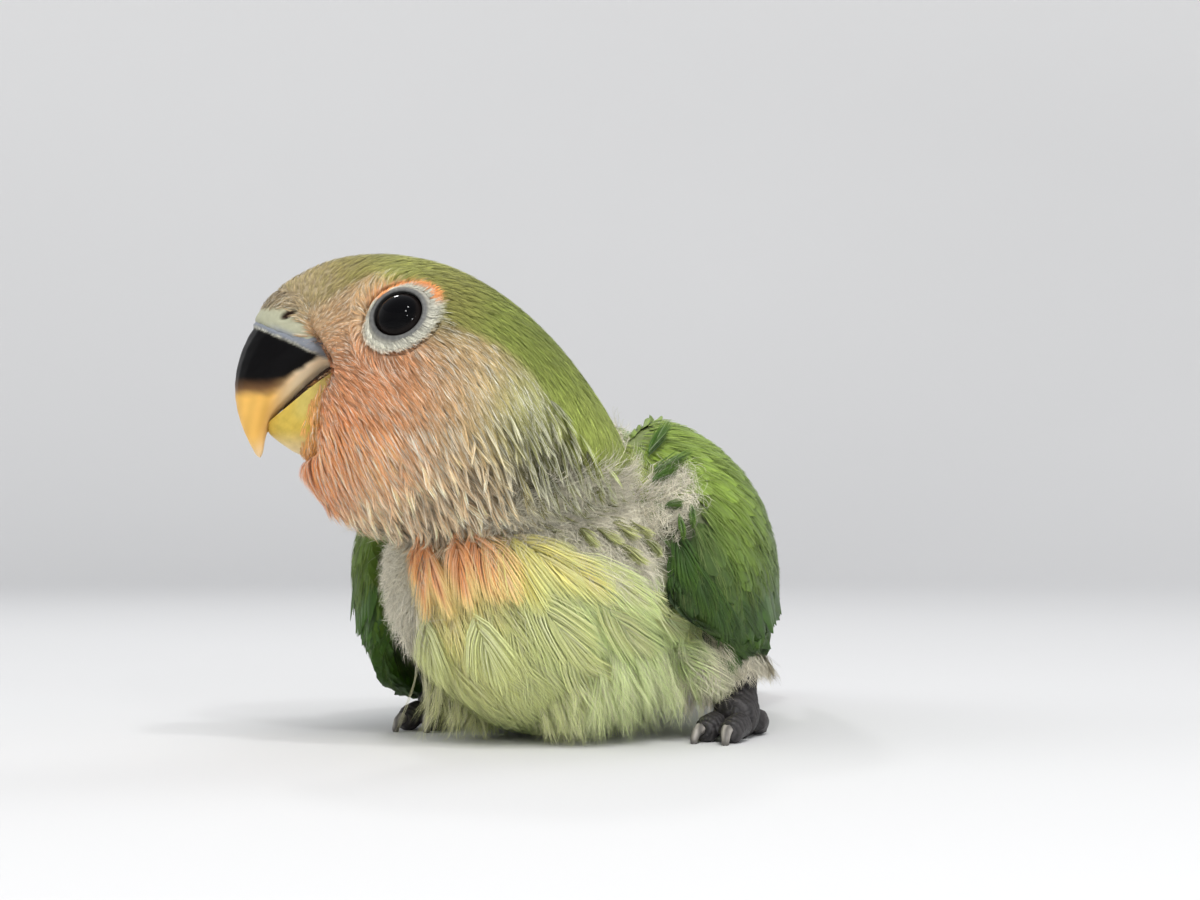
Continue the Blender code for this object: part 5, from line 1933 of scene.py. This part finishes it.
def make_bill():
    """Bare cere with nostrils, hooked upper bill, lower bill and the mouth between."""
    horn = skin_material("Bill horn", 0.34, 700.0, 0.00002, 0.03, Specular_IOR_Level=0.1)
    bare = skin_material("Cere skin", 0.6, 2400.0, 0.00006, 0.08)
    make_horn("bill_top", ("bill_upper",), "bill_upper", bill_upper_colour, horn, shape_bill,
              rounds=6, swell=0.08)
    make_lower_bill(horn)
    cere = make_horn("cere_skin", ("cere",), "cere", cere_colour, bare, shape_cere, rounds=5,
                     swell=0.05)
    make_cere_fuzz(cere)
    mouth = new_primitive("uv_sphere", "mouth_lining", segments=32, ring_count=20, radius=1.0)
    points = read_points(mouth) * MM
    place = np.column_stack((8.6 + points[:, 0] * 5.2 + points[:, 2] * 0.8,
                             points[:, 1] * (3.9 - 1.2 * points[:, 0]),
                             -8.6 + points[:, 2] * 1.15 - points[:, 0] * 4.4))
    write_points(mouth, from_head(place))
    mouth.data.shade_smooth()
    paint(mouth, np.broadcast_to(shade("gape"), (len(place), 3)))
    mouth.data.materials.append(skin_material("Mouth lining", 0.45, 1800.0, 0.00006, 0.15))
    settle_piece(mouth, "bill_lower")


SCUTES_PER_MM = 8.0


def shape_foot(points, normals):
    scutes = 0.07 * np.sin(in_body(points)[:, 1] * SCUTES_PER_MM)
    scutes = scutes * smooth(normals[:, 2], -0.2, 0.5)
    points = points + normals * scutes[:, None]
    keep_above(points, 0.0)
    return points


def foot_colour(points):
    light = 0.5 + 0.5 * np.sin(in_body(points)[:, 1] * SCUTES_PER_MM)
    return shade("foot") * (0.6 + 1.1 * light)[:, None]


def shape_claw(points, normals):
    points = points + normals * 0.06
    keep_above(points, 0.0)
    return points


def claw_colour(points):
    streak = 0.5 + 0.5 * np.sin(in_body(points)[:, 0] * 7.0 + mottle(points, 0.8))
    # Painted shade: the claws darken towards the floor they stand on.
    return shade("claw") * (0.4 + 0.75 * streak * smooth(points[:, 2], 0.1, 1.2))[:, None]


def make_feet():
    """Scaly dark feet with curved claws."""
    scales, tree, shader = new_material("Foot scales", Roughness=0.55)
    painted_colour(tree, shader, 1500.0, 0.22)
    place = add_node(tree, "ShaderNodeTexCoord")
    cells = add_node(tree, "ShaderNodeTexVoronoi", feature="DISTANCE_TO_EDGE", Scale=1500.0)
    join(tree, place, "Object", cells, "Vector")
    add_bump(tree, shader, cells, "Distance", 0.9, 0.0002)
    horn = skin_material("Claw horn", 0.35, 1200.0, 0.00003, 0.1)
    for side in "LR":
        toes, claws = (["%s_%s%d" % (kind, side, n) for n in range(1, 5)]
                       for kind in ("toe", "claw"))
        make_horn("foot_" + side, ["shank_" + side] + toes, "scaly_skin", foot_colour, scales,
                  shape_foot, rounds=3, swell=0.18, voxel=0.24 * MM)
        make_horn("claws_" + side, claws, "claw", claw_colour, horn, shape_claw, rounds=2,
                  voxel=0.12 * MM)


# Stage

LAMP_AIM = Vector((-0.01, -0.03, 0.04))
CAMERA_LIFT = 64 / 2200
CAMERA_AIM = (0.004, 0.027)


def make_backdrop():
    """A pale floor that rises softly into a surround, with no corner to be seen, glowing with
    painted light the more the farther out it lies.
    """
    floor = new_primitive("grid", "floor", x_subdivisions=120, y_subdivisions=120, size=3.6)
    points = read_points(floor)
    points[:, 2] = 1100 * smooth(np.linalg.norm(points[:, :2], axis=1), 550, 1700) ** 1.5
    write_points(floor, points)
    floor.data.shade_smooth()
    paper, tree, shader = new_material("Pale paper", Roughness=0.85, Specular_IOR_Level=0.1)
    place = add_node(tree, "ShaderNodeTexCoord")
    noise = add_node(tree, "ShaderNodeTexNoise", Scale=3.0, Detail=3.0)
    ramp = add_node(tree, "ShaderNodeMapRange", To_Min=0.64, To_Max=0.68)
    reach = add_node(tree, "ShaderNodeVectorMath", operation="LENGTH")
    # Painted light: the paper glows, the more the farther out from the bird it lies.
    glow = add_node(tree, "ShaderNodeMapRange", interpolation_type="SMOOTHSTEP", From_Min=0.35,
                    From_Max=1.5, To_Max=0.30)
    shader.inputs["Emission Color"].default_value = (1.0, 0.99, 0.97, 1.0)
    join(tree, place, "Object", noise, "Vector")
    join(tree, noise, "Fac", ramp, "Value")
    join(tree, ramp, "Result", shader, "Base Color")
    join(tree, place, "Object", reach, 0)
    join(tree, reach, "Value", glow, "Value")
    join(tree, glow, "Result", shader, "Emission Strength")
    paper.cycles.emission_sampling = "NONE"
    floor.data.materials.append(paper)


def place_lamps(scene):
    """Big soft lamps that the eyes don't mirror, and small ones that they do."""
    power, fill = sizes().key_light, sizes().fill_light
    lamps = (("key_lamp", (0.22, -0.40, 0.66), 0.40, power, (1.0, 0.98, 0.95), False),
             ("fill_lamp", (-0.55, -0.35, 0.35), 0.45, fill, (0.96, 0.98, 1.0), False),
             ("rim_lamp", (0.20, 0.5, 0.6), 0.40, fill, (1.0, 1.0, 1.0), False),
             ("glint_1", (0.20, -0.20, 0.48), 0.046, 0.46, (1.0, 1.0, 1.0), True),
             ("glint_2", (0.21, -0.35, 0.39), 0.042, 0.40, (1.0, 1.0, 1.0), True),
             ("glint_3", (0.42, -0.30, 0.14), 0.032, 0.24, (0.95, 0.97, 1.0), True),
             ("glint_4", (0.30, -0.41, 0.26), 0.028, 0.18, (0.95, 0.97, 1.0), True),
             ("glint_5", (-0.25, 0.22, 0.40), 0.056, 0.32, (1.0, 1.0, 1.0), True))
    for name, spot, size, energy, tint, mirrored in lamps:
        data = bpy.data.lights.new(name, "AREA")
        data.shape = "DISK"
        data.size = size
        data.energy = energy
        data.color = tint
        lamp = bpy.data.objects.new(name, data)
        scene.collection.objects.link(lamp)
        lamp.location = spot
        lamp.visible_glossy = mirrored
        lamp.rotation_euler = (LAMP_AIM - lamp.location).to_track_quat("-Z", "Y").to_euler()


def make_stage():
    """A pale floor and surround, soft lamps and the camera at the photo's angle."""
    scene = bpy.context.scene
    scene.view_settings.view_transform = "Standard"
    scene.view_settings.look = "None"
    world = scene.world or bpy.data.worlds.new("Surround")
    scene.world = world
    world.use_nodes = True
    light = world.node_tree.nodes["Background"]
    light.inputs["Color"].default_value = (0.93, 0.95, 1.0, 1.0)
    light.inputs["Strength"].default_value = sizes().surround
    make_backdrop()
    place_lamps(scene)
    right, back = Vector(FRONT_RIGHT), Vector(FRONT_BACK)
    pitch = math.atan(CAMERA_LIFT)
    data = bpy.data.cameras.new("camera")
    data.lens = sizes().lens
    data.clip_start = 0.01
    data.clip_end = 20.0
    camera = bpy.data.objects.new("camera", data)
    scene.collection.objects.link(camera)
    up = Vector(UP)
    z_axis = back * math.cos(pitch) - up * math.sin(pitch)
    y_axis = up * math.cos(pitch) + back * math.sin(pitch)
    turn = Matrix((right, y_axis, z_axis)).transposed()
    spot = (Vector(BODY_ORIGIN * MM) + back * sizes().camera_distance + right * CAMERA_AIM[0]
            + up * CAMERA_AIM[1])
    camera.matrix_world = Matrix.Translation(spot) @ turn.to_4x4()
    scene.camera = camera


# Add-on

class LOVEBIRD_OT_skin(bpy.types.Operator):
    """Make the skin that the plumage lies on"""
    bl_idname = "lovebird.skin"
    bl_label = "Skin"

    def execute(self, context):
        skin, labels = make_skin()
        prepare_surface(skin, labels)
        return {"FINISHED"}


class LOVEBIRD_OT_eyes(bpy.types.Operator):
    """Make eyes, lids and the feathers round them"""
    bl_idname = "lovebird.eyes"
    bl_label = "Eyes"

    def execute(self, context):
        make_eyes()
        return {"FINISHED"}


class LOVEBIRD_OT_bill(bpy.types.Operator):
    """Make cere, bill and mouth"""
    bl_idname = "lovebird.bill"
    bl_label = "Bill"

    def execute(self, context):
        make_bill()
        return {"FINISHED"}


class LOVEBIRD_OT_feet(bpy.types.Operator):
    """Make feet and claws"""
    bl_idname = "lovebird.feet"
    bl_label = "Feet"

    def execute(self, context):
        make_feet()
        return {"FINISHED"}


class LOVEBIRD_OT_head_coat(bpy.types.Operator):
    """Grow the plumage of the head"""
    bl_idname = "lovebird.head_coat"
    bl_label = "Head plumage"

    def execute(self, context):
        make_head_coat()
        return {"FINISHED"}


class LOVEBIRD_OT_body_coat(bpy.types.Operator):
    """Grow the plumage of breast, belly and back"""
    bl_idname = "lovebird.body_coat"
    bl_label = "Body plumage"

    def execute(self, context):
        make_body_coat()
        return {"FINISHED"}


class LOVEBIRD_OT_down(bpy.types.Operator):
    """Grow the down"""
    bl_idname = "lovebird.down"
    bl_label = "Down"

    def execute(self, context):
        make_down()
        make_breast_locks()
        make_skirts()
        for side, sign in SIDES:
            make_trousers(side, sign)
        return {"FINISHED"}


class LOVEBIRD_OT_wings(bpy.types.Operator):
    """Lay coverts and flight feathers on both wings"""
    bl_idname = "lovebird.wings"
    bl_label = "Wings"

    def execute(self, context):
        for side, sign in SIDES:
            make_wing_coverts(side, sign)
            make_flights(side, sign)
        make_shoulder_feathers()
        return {"FINISHED"}


class LOVEBIRD_OT_tail(bpy.types.Operator):
    """Lay the tail feathers"""
    bl_idname = "lovebird.tail"
    bl_label = "Tail"

    def execute(self, context):
        make_tail()
        return {"FINISHED"}


class LOVEBIRD_OT_stage(bpy.types.Operator):
    """Set up floor, lamps and camera"""
    bl_idname = "lovebird.stage"
    bl_label = "Stage"

    def execute(self, context):
        make_stage()
        return {"FINISHED"}


OPERATORS = (LOVEBIRD_OT_skin, LOVEBIRD_OT_eyes, LOVEBIRD_OT_bill, LOVEBIRD_OT_feet,
             LOVEBIRD_OT_head_coat, LOVEBIRD_OT_body_coat, LOVEBIRD_OT_down, LOVEBIRD_OT_wings,
             LOVEBIRD_OT_tail, LOVEBIRD_OT_stage)


class LOVEBIRD_PT_panel(bpy.types.Panel):
    """Sizes, colours and the steps that dress the bird"""
    bl_label = "Lovebird"
    bl_idname = "LOVEBIRD_PT_panel"
    bl_space_type = "VIEW_3D"
    bl_region_type = "UI"
    bl_category = "Lovebird"

    def draw(self, context):
        column = self.layout.column()
        for operator in OPERATORS:
            column.operator(operator.bl_idname)
        for key in LovebirdSizes.__annotations__:
            column.prop(context.scene.lovebird_sizes, key)
        for key, _, _ in PALETTE:
            column.prop(context.scene.lovebird_colours, key)


CLASSES = (LovebirdColours, LovebirdSizes) + OPERATORS + (LOVEBIRD_PT_panel,)


def register():
    for item in CLASSES:
        bpy.utils.register_class(item)
    bpy.types.Scene.lovebird_colours = PointerProperty(type=LovebirdColours)
    bpy.types.Scene.lovebird_sizes = PointerProperty(type=LovebirdSizes)


def unregister():
    del bpy.types.Scene.lovebird_sizes
    del bpy.types.Scene.lovebird_colours
    for item in reversed(CLASSES):
        bpy.utils.unregister_class(item)


def main():
    register()
    for operator in OPERATORS:
        getattr(bpy.ops.lovebird, operator.bl_idname.split(".")[1])()


if __name__ == "__main__":
    main()
